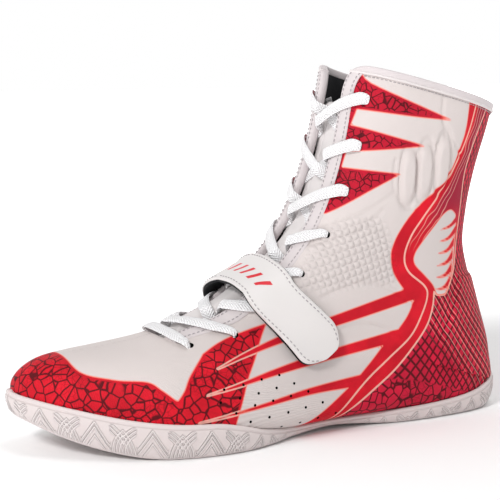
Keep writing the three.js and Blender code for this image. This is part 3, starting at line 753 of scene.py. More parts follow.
def leather_material():
    """Smooth coated leather with a row of slanting red bars across the strap's middle."""
    p = Paint("leather_white", LEATHER, roughness=0.42, specular=0.4)
    side, run = p.value("side"), p.value("run")
    slanted = p.add(p.less(run, BARS_AT), p.times(side, BAR_SLANT))
    off = p.less(BAR_PITCH / 2, p.math("PINGPONG", slanted, BAR_PITCH / 2))
    bar = p.fall(off, BAR_SIZE[0] - 0.1, BAR_SIZE[0] + 0.15)
    row = p.fall(p.math("ABSOLUTE", side), BAR_SIZE[1] - 0.1, BAR_SIZE[1] + 0.15)
    row_half = BARS * BAR_PITCH / 2
    reach = p.fall(p.math("ABSOLUTE", slanted), row_half - 0.2, row_half)
    p.set("Base Color", p.mix(p.both(bar, row, reach), LEATHER, RED))
    p.bump(p.noise(700.0, 3.0), 0.05)
    p.bump(p.noise(90.0, 2.0), 0.25)
    return p.material


BRAID_RIB = 1.7
BRAID_STRAND = 1.4


def lace_material():
    """Flat braid: slanting ribs that meet along the middle."""
    p = Paint("lace_white", (0.86, 0.85, 0.86), roughness=0.8, specular=0.2, sheen=0.3)
    run, side = p.value("run"), p.math("ABSOLUTE", p.value("side"))
    rib = p.math("SINE", p.times(p.add(run, side), 2 * math.pi / BRAID_RIB))
    strand = p.math("SINE", p.times(side, 2 * math.pi / BRAID_STRAND))
    p.bump(p.add(rib, p.times(strand, 0.5)), 0.2)
    # painted shade: the colour darkens in the hollows between the ribs
    p.set("Base Color", p.mix(p.rise(rib, -1.2, 0.4), (0.76, 0.745, 0.755), (0.92, 0.91, 0.92)))
    return p.material


# The side wall's moulded lines, drawn both in the mesh and in the material.
ZIGZAG = 7.5  # half a fold of the zigzags
ZIGZAG_AT = (3.2, 6.0, 10.5)  # how far down each starts
ZIGZAG_STEEP = 1.5
ZIGZAG_THIN = 0.56  # distance across a line, for each millimetre down
MOTIF = 15.0  # half the distance between groups of arcs
ARC_CENTRES = (-13.0, 16.0)
ARC_DOWN = 19.0
ARC_RADII = (15.5, 17.3, 19.1)
ARCS_TO = (6.5, 7.5)  # where a group of arcs gives way to the zigzags
PLAIN_TOP = (2.6, 3.2)
PLAIN_FOOT = (1.0, 1.8)


def rubber_material():
    """Moulded rubber; its bump, and painted highlight and shade in its colour, sharpen the lines that
    wall_moulding lifts in the mesh.
    """
    p = Paint("sole_rubber", (0.60, 0.53, 0.52), roughness=0.55, specular=0.35)
    run, down, left = p.value("run"), p.value("down"), p.value("left")

    def cord(distance, half=0.48):
        return p.fall(p.math("ABSOLUTE", distance), half * 0.4, half * 1.5)

    rise = p.less(down, p.times(p.math("PINGPONG", run, ZIGZAG), ZIGZAG_STEEP))
    zigzags = p.most(*(cord(p.times(p.less(rise, at), ZIGZAG_THIN)) for at in ZIGZAG_AT))
    off = p.math("PINGPONG", run, MOTIF)
    up = p.less(down, ARC_DOWN)
    arcs = []
    for centre in ARC_CENTRES:
        aside = p.less(off, centre)
        far = p.math("SQRT", p.add(p.times(aside, aside), p.times(up, up)))
        arcs += [cord(p.less(far, radius)) for radius in ARC_RADII]
    clear = p.rise(off, *ARCS_TO)
    lines = p.most(p.both(zigzags, clear), p.both(p.most(*arcs), p.less(1.0, clear)))
    lines = p.both(lines, p.rise(down, *PLAIN_TOP), p.rise(left, *PLAIN_FOOT))
    # painted shade: a dark line along the groove under the wall's top edge
    rim = p.line(down, 2.3, 0.12, 0.4)
    # painted highlight and shade: the raised lines are paler than the wall between them
    wall = p.mix(lines, (0.68, 0.605, 0.595), (0.76, 0.69, 0.68))
    p.set("Base Color", p.mix(p.both(rim, 0.5), wall, (0.44, 0.37, 0.36)))
    p.bump(lines, 0.8)
    p.bump(p.noise(500.0, 3.0), 0.06)
    return p.material


MATERIAL = {
    "print": print_material(),
    "white": plain_fabric("facing_white", (0.61, 0.555, 0.56), roughness=0.6, grain=0.06, sheen=0.05),
    "tongue": plain_fabric("tongue_white", (0.68, 0.64, 0.635)),
    "black": plain_fabric("lining_black", (0.012, 0.012, 0.014), roughness=0.95, sheen=0.1),
    "leather": leather_material(),
    "lace": lace_material(),
    "rubber": rubber_material(),
    "thread": Paint("thread_grey", (0.36, 0.33, 0.34), roughness=0.8).material,
    "hook": plain_fabric("hook_black", (0.02, 0.02, 0.022), roughness=0.6, grain=0.5),
    "loop": plain_fabric("loop_black", (0.016, 0.016, 0.018), roughness=1.0, grain=0.4),
    "liner": plain_fabric("footbed_grey", (0.05, 0.05, 0.055), roughness=0.95),
    "foam": plain_fabric("foam_grey", (0.55, 0.54, 0.52), roughness=0.9),
    "board": plain_fabric("fibre_board", (0.40, 0.33, 0.22), roughness=0.9),
    "thread_red": Paint("thread_red", (0.30, 0.01, 0.02), roughness=0.8).material,
    "piping": plain_fabric("piping_white", (0.67, 0.62, 0.615), roughness=0.5, grain=0.04),
    "thread_white": Paint("thread_white", (0.66, 0.63, 0.62), roughness=0.8).material,
    "hole": Paint("hole_black", (0.004, 0.004, 0.004), roughness=1.0, specular=0.0).material,
    "plastic": Paint("tip_plastic", (0.86, 0.86, 0.86), roughness=0.3, specular=0.5).material,
}


# ---------------------------------------- camera, light and floor

CAMERA_AT = (-490.0, -721.6, 212.0)
CAMERA_AZIMUTH = 29.0  # turned towards the toe from the straight side view
CAMERA_PITCH = 7.39
CAMERA_LENS = 106.6
CAMERA_SHIFT = (-0.0833, -0.0227)
# Each lamp's place and size in metres, and its watts.
LAMPS = {"key": ((-1.2, -0.75, 1.0), 0.32, 13), "top": ((0.1, -0.3, 1.8), 0.8, 6)}
AIM = (-0.1, 0, 0.08)
FLOOR_GLOWS = (0.2, 0.62)  # metres from the boot where the floor starts to glow, and glows fully
# The sky is bright beyond the boot and near the horizon: from, to, and the strength at each.
SKY_WAY = (0.485, 0.875, 0)
SKY_AHEAD = (-0.1, 0.7, 0.38, 1.0)
SKY_HEIGHT = (0.1, 0.25, 1.0, 0.38)


def add_camera():
    data = bpy.data.cameras.new("camera")
    data.lens = CAMERA_LENS
    data.sensor_width = 36
    data.clip_end = 20
    data.shift_x, data.shift_y = CAMERA_SHIFT
    camera = bpy.data.objects.new("camera", data)
    bpy.context.scene.collection.objects.link(camera)
    camera.location = Vector(CAMERA_AT) * MM
    camera.rotation_euler = (math.radians(90 - CAMERA_PITCH), 0, -math.radians(CAMERA_AZIMUTH))
    bpy.context.scene.camera = camera


def add_area(name, at, size, power):
    data = bpy.data.lights.new(name, "AREA")
    data.shape = "DISK"
    data.size = size
    data.energy = power
    light = bpy.data.objects.new(name, data)
    bpy.context.scene.collection.objects.link(light)
    light.location = at
    light.rotation_euler = (Vector(AIM) - Vector(at)).to_track_quat("-Z", "Y").to_euler()


def add_stage():
    floor = Mesh().add([[-6000, -6000, 0], [6000, -6000, 0], [6000, 6000, 0], [-6000, 6000, 0]], [(0, 1, 2, 3)])
    paint = Paint("floor_white", (0.985, 0.985, 0.985), roughness=1.0, specular=0.0)
    # the floor glows where it is too far off for the lamps, so that it meets the white sky
    far = paint.node("VectorMath", {"operation": "LENGTH"}, Vector=paint.place())
    paint.set("Emission Color", (1, 1, 1, 1))
    paint.set("Emission Strength", paint.rise(far.outputs["Value"], *FLOOR_GLOWS))
    floor.build("floor", [paint.material])
    world = bpy.data.worlds.new("studio")
    bpy.context.scene.world = world
    world.use_nodes = True
    # white beyond the boot and all round the horizon, dimmer high up behind the camera
    nodes, links = world.node_tree.nodes, world.node_tree.links
    towards = nodes.new("ShaderNodeVectorMath")
    towards.operation = "DOT_PRODUCT"
    towards.inputs[1].default_value = SKY_WAY
    way = nodes.new("ShaderNodeTexCoord").outputs["Generated"]
    height = nodes.new("ShaderNodeSeparateXYZ")
    links.new(way, towards.inputs[0])
    links.new(way, height.inputs[0])
    brighter = nodes.new("ShaderNodeMath")
    brighter.operation = "MAXIMUM"
    sky = ((towards.outputs["Value"], SKY_AHEAD), (height.outputs["Z"], SKY_HEIGHT))
    for k, (value, ends) in enumerate(sky):
        ramp = nodes.new("ShaderNodeMapRange")
        links.new(value, ramp.inputs["Value"])
        for socket, end in zip(("From Min", "From Max", "To Min", "To Max"), ends):
            ramp.inputs[socket].default_value = end
        links.new(ramp.outputs["Result"], brighter.inputs[k])
    links.new(brighter.outputs["Value"], nodes["Background"].inputs["Strength"])
    nodes["Background"].inputs["Color"].default_value = (1, 1, 1, 1)
    for name, lamp in LAMPS.items():
        add_area(name, *lamp)
    bpy.context.scene.view_settings.view_transform = "Standard"


add_camera()
add_stage()


# ---------------------------------------- laces

LACE_WIDE = 6.9
LACE_THICK = 1.6
LACE_OVER = 2.4  # height over the skin where it crosses on top
LACE_UNDER = -4.5
HOLE_WIDE = 4.0  # the lace's width in an eyelet
HOLE_SHOWS = -0.2  # from the eyelet's middle to the lace's, away from the throat
FULL_ROWS = 3  # top rows whose lace stays flat and wide over its eyelets


def ribbon(path, normals, wide, thick, corners=12):
    """Flat braid along a path: its points, faces, and the braid's two coordinates."""
    path = np.asarray(path, float)
    run = unit(np.gradient(path, axis=0))
    across = unit(np.cross(run, normals))
    up = np.cross(across, run)
    a, b = circle(corners, 0.7, 0.9)
    side = 0.5 * np.multiply.outer(np.broadcast_to(wide, len(path)), a)
    lift = 0.5 * np.multiply.outer(np.broadcast_to(thick, len(path)), b)
    rings = path[:, None] + side[..., None] * across[:, None] + lift[..., None] * up[:, None]
    points, faces = sweep(rings)
    length = np.broadcast_to(run_length(path)[:, None], side.shape)
    return points, faces, {"run": length, "side": side}


def smooth_path(points, count, columns=None):
    """Smooth curve through rows of numbers, evenly spaced by the first few columns."""
    fine = flowing(points, 16)
    run = run_length(fine[:, :columns])
    even_run = np.linspace(0, run[-1], count)
    return np.stack([np.interp(even_run, run, fine[:, k]) for k in range(fine.shape[1])], -1)


def lace_rows(u, half, height, wide=LACE_WIDE, thick=LACE_THICK):
    """One row of a lace's route: its place, the skin's normal there, and the lace's width and thickness."""
    v = v_at(u, half)
    return [*raised(u, v, height), *outward(u, v), wide, thick]


def hole_rows(u, side, outer_first, full=False):
    """The short stretch that comes up through an eyelet."""
    wide = LACE_WIDE * 0.8 if full else HOLE_WIDE
    half = side * (EYELET_HALF + (0.6 if full else HOLE_SHOWS))
    rows = [lace_rows(u, half, 1.4, wide, 2.0)]
    rows += [lace_rows(u, half, height, HOLE_WIDE, 2.0) for height in (-1.5, LACE_UNDER)]
    return rows if outer_first else rows[::-1]


def crossing(row, side):
    """Lace out of one row's eyelet, across the throat and under the other quarter to the row below."""
    start, stop = ROW_U[row], ROW_U[row - 1]
    on_top = (row % 2 == 1) == (side == 1)
    full = row >= EYELET_ROWS - FULL_ROWS
    rows = hole_rows(start, side, True, full)[1::-1]
    for t in np.linspace(0, 1, 21):
        half = side * mix(EYELET_HALF - 1.7, 1 - EYELET_HALF, t)
        reach = smooth(-10.5, -6, side * half) if on_top else smooth(6, 10.5, side * half)
        near = 0 if full else smooth(EYELET_HALF - 8, EYELET_HALF - 2, side * half)
        wide = mix(LACE_WIDE, HOLE_WIDE + 1, near)
        rows.append(lace_rows(mix(start, stop, t), half, mix(LACE_UNDER, LACE_OVER, reach), wide))
    return rows + hole_rows(stop, -side, False)[:2]


def build_lace(node, rows, count):
    route = smooth_path(rows, count, 3)
    points, faces, values = ribbon(route[:, :3], route[:, 3:6], route[:, 6], route[:, 7])
    Mesh().add(points, faces, **values).piece(node, ["lace"], "lace")


def build_crossings():
    for row in range(1, EYELET_ROWS):
        for side, name in SIDES:
            build_lace(f"lace_{row}_from_{name}", crossing(row, side), 90)
    rows = [lace_rows(ROW_U[0] + 0.04, side * (EYELET_HALF + 0.6), -1.5, HOLE_WIDE, 2.0) for side in (1, -1)]
    middle = []
    for t in np.linspace(0, 1, 17):
        half = mix(EYELET_HALF - 0.5, 0.5 - EYELET_HALF, t)
        ends = smooth(EYELET_HALF - 7, EYELET_HALF - 1, abs(half))
        middle.append(lace_rows(ROW_U[0] + 0.12, half, LACE_OVER, mix(LACE_WIDE, HOLE_WIDE + 1, ends)))
    build_lace("lace_bar", [rows[0], *middle, rows[1]], 70)


# Each row: stations below the top eyelet, v, and height over the skin.
TAIL_ROUTE = [[0, 0.2, -7], [0.35, 0.3, -8], [0.9, 0.42, -9], [1.6, 0.5, -9.5], [2.4, 0.52, -9.5],
              [3.2, 0.53, -9.5]]
TAIL_WIDE = 4.4
TAIL_THICK = 1.3
AGLET_LONG = 22
AGLET_WIDE = 2.6


def build_tail(side, name):
    knots = [raised(ROW_U[-1] + du, side * v, height) for du, v, height in TAIL_ROUTE]
    path = smooth_path(knots, 60)
    normals = np.tile([0.0, -side, 0.0], (len(path), 1))
    points, faces, values = ribbon(path, normals, TAIL_WIDE, TAIL_THICK)
    tail = Mesh().add(points, faces, **values).piece(f"lace_tail_{name}", ["lace"], "lace")
    run = unit(path[-1] - path[-4])
    ends = np.array([path[-1] + run * d for d in np.linspace(-1, AGLET_LONG, 8)])
    points, faces, _ = ribbon(ends, normals[:8], AGLET_WIDE, AGLET_WIDE, 10)
    tip = Mesh().add(points, faces).piece(f"aglet_{name}", ["plastic"], "plastic")


build_crossings()
for side, name in SIDES:
    build_tail(side, name)


# ---------------------------------------- small sewn and punched details

def stitches(line, normals, pitch=2.7, long=1.9, thread=0.24, lift=0.1):
    """Short arched threads along a line on a surface, as points and faces."""
    line, normals = np.asarray(line, float), np.asarray(normals, float)
    run = run_length(line)
    cosine, sine = circle(6)
    points, faces = [], []
    for start in np.arange(pitch / 2, run[-1] - long, pitch):
        ats = start + long * np.array([0, 0.18, 0.5, 0.82, 1])
        lifts = np.array([-0.35, lift, lift + 0.08, lift, -0.35])
        middle = np.stack([np.interp(ats, run, line[:, k]) for k in range(3)], -1)
        up = unit(np.stack([np.interp(ats, run, normals[:, k]) for k in range(3)], -1))
        ahead = unit(np.broadcast_to(middle[-1] - middle[0], middle.shape))
        across = unit(np.cross(ahead, up))
        ring = cosine[:, None] * across[:, None] + sine[:, None] * up[:, None]
        rings = (middle + up * lifts[:, None])[:, None] + thread * ring
        some, quads = sweep(rings)
        faces += [tuple(i + len(points) * len(some) for i in f) for f in quads]
        points.append(some)
    return np.concatenate(points), faces


def disc(at, normal, radius, height=0.08, sides=14):
    """Thin dark disc that lies on a surface."""
    normal = unit(np.asarray(normal, float))
    a = unit(np.cross(normal, [0.3, 1, 0.2]))
    b = np.cross(normal, a)
    cosine, sine = circle(sides)
    ring = radius * (cosine[:, None] * a + sine[:, None] * b)
    return sweep([at + ring - 0.6 * normal, at + ring + height * normal])


def on_line(u, v, height):
    """Points and normals of a line drawn on the skin."""
    u, v = np.broadcast_arrays(np.asarray(u, float), np.asarray(v, float))
    return raised(u, v, np.broadcast_to(height, u.shape)), outward(u, v)


# ---------------------------------------- upper

QUARTER_THICK = 2.2
HEEL_TURN = (8.1, 8.8)  # stations where the quarters leave the back seam and turn in under the foot
TURNED_IN = 0.86  # v of their edge there
BACK_SEAM = (0.975, 0.985)  # v of the stitching each side of the back seam
FABRIC_STEP = 1.25  # between rows of a mesh
HOLE_RADIUS = 1.9
PERFORATION_ROWS = [[-154.9, 35, 4], [-157.8, 28.6, 5], [-149, 22.8, 5], [-140.2, 16.1, 5], [-119.3, 9.8, 4],
                    [-87.8, 7.3, 2]]  # first hole's x and z, and how many
PERFORATION_STEP = (11.6, 1.0)
PERFORATION_RADIUS = 0.75


def fabric_grid(u_line, v_ends, columns):
    """u and v of a grid whose columns are evenly spaced between two edges, one row for each u."""
    rows = []
    for u in u_line:
        start, stop = v_ends(u)
        rows.append(even(lambda v: skin(u, v), start, stop, columns, 500))
    u = np.repeat(np.asarray(u_line)[:, None], columns, 1)
    return u, np.array(rows)


def u_steps(start, stop, v, step=FABRIC_STEP):
    """Stations from start to stop about a step apart along the line at v."""
    long = run_length(skin(np.linspace(start, stop, 200), v))[-1]
    return even(lambda u: skin(u, v), start, stop, int(long / step) + 1)


def add_slab(mesh, u, v, outer, inner, material=0, **values):
    shape = u.shape
    outer, inner = (np.broadcast_to(h, shape) for h in (outer, inner))
    points = np.concatenate([raised(u, v, outer).reshape(-1, 3), raised(u, v, inner).reshape(-1, 3)])
    doubled = {k: np.concatenate([a.ravel(), a.ravel()]) for k, a in values.items()}
    return mesh.add(points, slab_faces(*shape), material, **doubled)


def skin_at(x, z, side):
    """u and v of the skin's point at x and z on one side."""
    u, v = np.meshgrid(np.linspace(9, 12.5, 351), np.linspace(0.3, 0.85, 221), indexing="ij")
    place = skin(u, side * v)
    nearest = np.argmin((place[..., 0] - x) ** 2 + (place[..., 2] - z) ** 2)
    return u.ravel()[nearest], side * v.ravel()[nearest]


def build_quarter(side, name):
    def ends(u):
        return v_at(u, side * throat_half(u)), side * mix(1, TURNED_IN, smooth(*HEEL_TURN, u))

    mesh = Mesh()
    u, v = fabric_grid(u_steps(RIM - 0.04, SEAM, side * 0.5), ends, 150)
    back = (1 - np.abs(v)) * 100
    seam = 0.7 * hollow(back, 1.6) * (1 - smooth(7.8, 8.4, u))
    add_slab(mesh, u, v, emboss(u, v) - seam, -QUARTER_THICK, **print_values(u, v))
    for row in ROW_U:
        at = v_at(row, side * EYELET_HALF)
        mesh.add(*disc(raised(row, at, float(emboss(row, at)) + 0.1), outward(row, at), HOLE_RADIUS), 1)
    for x, z, count in PERFORATION_ROWS:
        for k in range(count):
            at = skin_at(x + k * PERFORATION_STEP[0], z + k * PERFORATION_STEP[1], side)
            mesh.add(*disc(raised(*at, float(emboss(*at))), outward(*at), PERFORATION_RADIUS), 1)
    for at in BACK_SEAM:
        line = on_line(np.linspace(RIM + 0.1, HEEL_CUP[0] + 0.1, 200), side * at, 0.05)
        mesh.add(*stitches(*line), 2)
    mesh.piece(f"quarter_{name}", ["print", "hole", "thread_white"], "upper_print")


def build_vamp():
    u, v = fabric_grid(u_steps(SEAM, TIP - 0.02, 0.3), lambda u: (-TURNED_IN, TURNED_IN), 190)
    mesh = add_slab(Mesh(), u, v, emboss(u, v), -QUARTER_THICK, **print_values(u, v))
    mesh.piece("vamp", ["print"], "upper_print")


HEEL_CUP = (5.0, 7.75)
HEEL_CUP_HALF = (0.30, 0.46)  # how far round it reaches at its top and foot, in v
HEEL_CUP_HIGH = 1.5
HEEL_CUP_INSET = 2 / 110  # from its front edges to their stitching, in v


def build_heel_cup():
    """Overlay round the heel; it thins out to the quarter along its edge."""
    def reach(u):
        return mix(*HEEL_CUP_HALF, smooth(5, 8, u))

    u, v = fabric_grid(u_steps(*HEEL_CUP, 0.9), lambda u: (1 - reach(u), 1 + reach(u)), 150)
    v = np.where(v > 1, v - 2, v)
    from_back = around(u, v)
    edge = np.minimum(from_back[:, :1] - from_back, (u - HEEL_CUP[0]) * 26)
    high = mix(0.1, HEEL_CUP_HIGH, smooth(0, 5, edge)) + 0.15 * hollow(edge - 1, 1)
    mesh = add_slab(Mesh(), u, v, emboss(u, v) + high, -0.8, **print_values(u, v))
    rows = np.linspace(HEEL_CUP[0] + 0.1, HEEL_CUP[1] - 0.2, 60)
    for side in (1, -1):
        mesh.add(*stitches(*on_line(rows, side * (1 - reach(rows) + HEEL_CUP_INSET), 0.9)), 1)
    half = HEEL_CUP_HALF[0] - 0.03
    at = np.linspace(1 - half, 1 + half, 120)
    mesh.add(*stitches(*on_line(HEEL_CUP[0] + 0.1, np.where(at > 1, at - 2, at), 0.9)), 1)
    mesh.piece("heel_cup", ["print", "thread_red"], "upper_print")


LINING_LAYER = (-2.6, -3.2)
LINING_STEP = 2.2  # how much deeper the lining lies over the heel counter and the toe puff


def heel_deep(u, v):
    return LINING_STEP * smooth(4.6, 5.3, u) * smooth(0.44, 0.54, np.abs(v)) * (1 - smooth(8.1, 8.6, u))


def toe_deep(u, v):
    return LINING_STEP * smooth(14.2, 14.8, u) * (1 - smooth(0.6, 0.72, np.abs(v)))


def build_linings():
    def build_lining(node, u_line, ends, deep_at):
        u, v = fabric_grid(u_line, ends, 60)
        deep = deep_at(u, v)
        mesh = add_slab(Mesh(), u, v, LINING_LAYER[0] - deep, LINING_LAYER[1] - deep)
        mesh.piece(node, ["black"], "lining")

    for side, name in SIDES:
        build_lining(f"quarter_lining_{name}", u_steps(RIM, SEAM, side * 0.5, 3),
                     lambda u: (v_at(u, side * throat_half(u)),
                                side * mix(0.998, TURNED_IN, smooth(*HEEL_TURN, u))),
                     heel_deep)
    build_lining("vamp_lining", u_steps(SEAM, TIP - 0.9, 0.3, 3), lambda u: (-0.84, 0.84), toe_deep)


COLLAR_IN = -3.6
COLLAR_OUT = 1.2
PIPING = 0.85  # its radius


def build_collar():
    """Padded roll on the rim, its piping, and their stitching."""
    edge = v_at(0.2, throat_half(RIM) - 0.6)
    columns = even(lambda w: skin(0.2, np.where(w > 1, w - 2, w)), edge, 2 - edge, 260, 900)
    v = np.where(columns > 1, columns - 2, columns)
    run = run_length(skin(0.2, v))
    near = np.minimum(run, run[-1] - run) + throat_half(RIM) - THROAT_HALF[0] - 0.6
    a, b = circle(28, 0.6, 0.6)
    top = np.minimum(corner(near) / RIM_STEP, RIM - 0.04)
    middle, half = (top + RIM + 0.05) / 2, (RIM + 0.05 - top) / 2
    u = middle[:, None] - half[:, None] * a
    deep = mix(COLLAR_IN, COLLAR_OUT, (b + 1) / 2)
    puff = 0.25 * np.sin(run / 3.1)[:, None] * hollow(a, 0.5) * (b > 0)
    place = skin(np.maximum(u, 0), v[:, None]) + outward(u, v[:, None]) * (deep + puff)[..., None]
    mesh = Mesh().add(*sweep(place))
    pipe_u = np.full(len(v), RIM + 0.02)
    centre = raised(pipe_u, v, 0.75)
    up = outward(pipe_u, v)
    ahead = unit(np.gradient(centre, axis=0))
    across = np.cross(ahead, up)
    cosine, sine = circle(10)
    ring = PIPING * (cosine[:, None] * across[:, None] + sine[:, None] * up[:, None])
    mesh.add(*sweep(centre[:, None] + ring), 1)
    keep = slice(8, -8)
    mesh.add(*stitches(*on_line(RIM + 0.12, v[keep], 0.25), pitch=2.4, long=1.7), 2)
    mesh.piece("collar_binding", ["white", "piping", "thread"], "upper_white")


# The folded strip's section, once round: [millimetres back from the throat's edge, height over the skin].
FACING = [[8, 0.15], [7.7, 0.65], [7, 0.95], [5, 1.05], [3, 1.05], [0.9, 1.0], [0.1, 0.8], [-0.5, 0.1],
          [-0.7, -1.2], [-0.5, -2.6], [0.1, -3.5], [1.0, -3.9], [3.0, -4.0], [5.5, -3.9], [5.9, -3.6],
          [5.5, -3.35], [3.0, -3.3], [1.4, -3.0], [0.9, -2.3], [0.9, -0.6], [2.5, -0.5], [5, -0.5], [7.6, -0.5]]
FACING_STITCHES = (1.4, 6.6)


def build_facing(side, name):
    rows = u_steps(RIM - 0.02, THROAT_END + 0.12, side * 0.2, 1.6)
    section = np.array(FACING)
    half = side * (throat_half(rows)[:, None] + section[:, 0])
    u = np.broadcast_to(rows[:, None], half.shape)
    v = v_at(u, half)
    mesh = Mesh().add(*sweep(raised(u, v, np.broadcast_to(section[:, 1], half.shape))))
    for inset in FACING_STITCHES:
        line = on_line(rows, v_at(rows, side * (throat_half(rows) + inset)), 1.05)
        mesh.add(*stitches(*line, pitch=2.6, long=1.7, thread=0.27), 1)
    mesh.piece(f"throat_binding_{name}", ["white", "thread"], "upper_white")


TONGUE_LAYER = (-5.4, -9.6)
TONGUE_ENDS = (1.2, 11.4)
TONGUE_HALF = 20
TONGUE_SWELL = 5.4  # how far it rises between the facings
TONGUE_CHANNEL = 0.8  # depth of its sewn channels
CHANNEL_AT = (8.5, 8)  # from the middle, and from the top


def build_tongue():
    """Padded tongue: crowned, with a rolled edge and two sewn channels."""
    rows = u_steps(*TONGUE_ENDS, 0.0, 1.6)
    columns = np.linspace(-1, 1, 61)
    u = np.repeat(rows[:, None], len(columns), 1)
    half = np.broadcast_to(columns * TONGUE_HALF, u.shape)
    v = v_at(u, half)
    from_top = run_length(skin(rows, 0.0))[:, None]
    edge = np.minimum((1 - np.abs(columns)) * TONGUE_HALF, from_top)
    body = np.sqrt(np.clip(1 - (1 - np.clip(edge / 3.0, 0, 1)) ** 2, 0, 1))
    channels = sum(TONGUE_CHANNEL * hollow(far - at, 0.9)
                   for far, at in zip((np.abs(half), from_top), CHANNEL_AT))
    middle, thick = sum(TONGUE_LAYER) / 2, (TONGUE_LAYER[0] - TONGUE_LAYER[1]) / 2
    swell = TONGUE_SWELL * (1 - smooth(4, 11, np.abs(half))) * smooth(3, 5.5, u) * (1 - smooth(9.5, 10.8, u))
    pillow = 0.5 * np.cos(half / 11) + swell
    outer = middle + thick * body + pillow - channels + 0.12 * np.sin(from_top / 4.3 + half / 6)
    inner = middle - thick * body
    mesh = add_slab(Mesh(), u, v, outer, inner)
    tongue = mesh.piece("tongue", ["tongue"], "upper_white", "tongue_part", weld=True)


for side, name in SIDES:
    build_quarter(side, name)
    build_facing(side, name)
build_vamp()
build_heel_cup()
build_linings()
build_collar()
build_tongue()


# ---------------------------------------- sole

SOLE_SIDE = 520  # points along each side
SOLE_BLUR = 16  # points on each side that a point's way out is averaged over
WALL = [[-2.2, 0], [-0.6, 0.03], [0.6, 0.12], [1.6, 0.26], [2.3, 0.45], [2.65, 0.65], [2.6, 0.85], [2.2, 0.95],
        [1.7, 1]]  # its section: [millimetres out, share of the way up]
WALL_LIP = [[1.3, 0.18], [0.8, 0.2], [0.3, 0.05], [-0.2, -0.3]]  # its top edge: [out, up]
WALL_ROWS = 38
UNDER_COLUMNS = 80
TREAD_DEEP = 0.9
TREAD_PITCH = 7
BALL_X = -160  # x of the middle of the tread's rings under the ball, and under the heel
HEEL_X = -5
MOULDING_HIGH = 0.4
WALL_GROOVE = 0.4  # depth and half width of the groove below the wall's top edge
WALL_GROOVE_DOWN = 1.9


def feather_line(side):
    """Where the skin meets the sole's top edge on one side, heel to toe: u and v."""
    u = np.linspace(7, TIP - 0.02, 2200)
    low, high = np.full(len(u), 0.3), np.ones(len(u))
    back = skin(u, 1.0)
    start = np.argmax(back[:, 2] <= profile(SOLE_TOP[side], back[:, 0]))
    for _ in range(34):
        v = (low + high) / 2
        place = skin(u, side * v)
        over = place[:, 2] > profile(SOLE_TOP[side], place[:, 0])
        low, high = np.where(over, v, low), np.where(over, high, v)
    u, v = u[start:], low[start:]
    run = run_length(skin(u, side * v))
    at = np.linspace(0, run[-1], SOLE_SIDE + 1)
    return np.interp(at, run, u), np.interp(at, run, v)


FEATHER = {side: feather_line(side) for side in (1, -1)}


def sole_loop():
    """The feather line all round, lateral side first, and which way is out at each point."""
    sides = [skin(FEATHER[side][0], side * FEATHER[side][1]) for side in (1, -1)]
    loop = np.concatenate([sides[0], sides[1][-2:0:-1]])
    step = np.roll(loop, -1, axis=0) - np.roll(loop, 1, axis=0)
    out = np.stack([-step[:, 1], step[:, 0]], -1)
    blur = np.hanning(2 * SOLE_BLUR + 1)
    padded = np.concatenate([out[-SOLE_BLUR:], out, out[:SOLE_BLUR]])
    out = np.stack([np.convolve(padded[:, k], blur, "valid") for k in range(2)], -1)
    return loop, unit(out) * np.where((out * (loop[:, :2] - loop[:, :2].mean(0))).sum() > 0, 1, -1)


def sole_ring(out, height_at):
    loop, way = SOLE_LOOP
    flat = loop[:, :2] + way * np.asarray(out, float).reshape(-1, 1)
    return np.column_stack([flat, height_at(flat[:, 0], loop[:, 2])])


SOLE_LOOP = sole_loop()


def tread_pattern(x, y):
    """Grooves under the sole: rings round the ball and the heel."""
    rings = np.minimum(np.hypot(x - BALL_X, y * 1.1), np.hypot(x - HEEL_X, y * 1.1))
    wave = np.abs((rings / TREAD_PITCH) % 1 - 0.5) * TREAD_PITCH
    return TREAD_DEEP * hollow(wave, 0.9)


def pingpong(x, half):
    return half - np.abs(x % (2 * half) - half)


def cord(distance, half=0.58):
    """A rounded ridge along the line where distance is nought."""
    return 1 - smooth(half * 0.3, half * 1.6, np.abs(distance))


def wall_moulding(run, down, left):
    """Raised zigzags and groups of arcs between the plain borders of the side wall."""
    rise = down - ZIGZAG_STEEP * pingpong(run, ZIGZAG)
    zigzags = np.max([cord(ZIGZAG_THIN * (rise - at)) for at in ZIGZAG_AT], axis=0)
    off = pingpong(run, MOTIF)
    arcs = np.max([cord(np.hypot(off - centre, down - ARC_DOWN) - radius) for centre in ARC_CENTRES
                   for radius in ARC_RADII], axis=0)
    lines = mix(zigzags, arcs, 1 - smooth(*ARCS_TO, off))
    return lines * smooth(*PLAIN_TOP, down) * smooth(*PLAIN_FOOT, left)


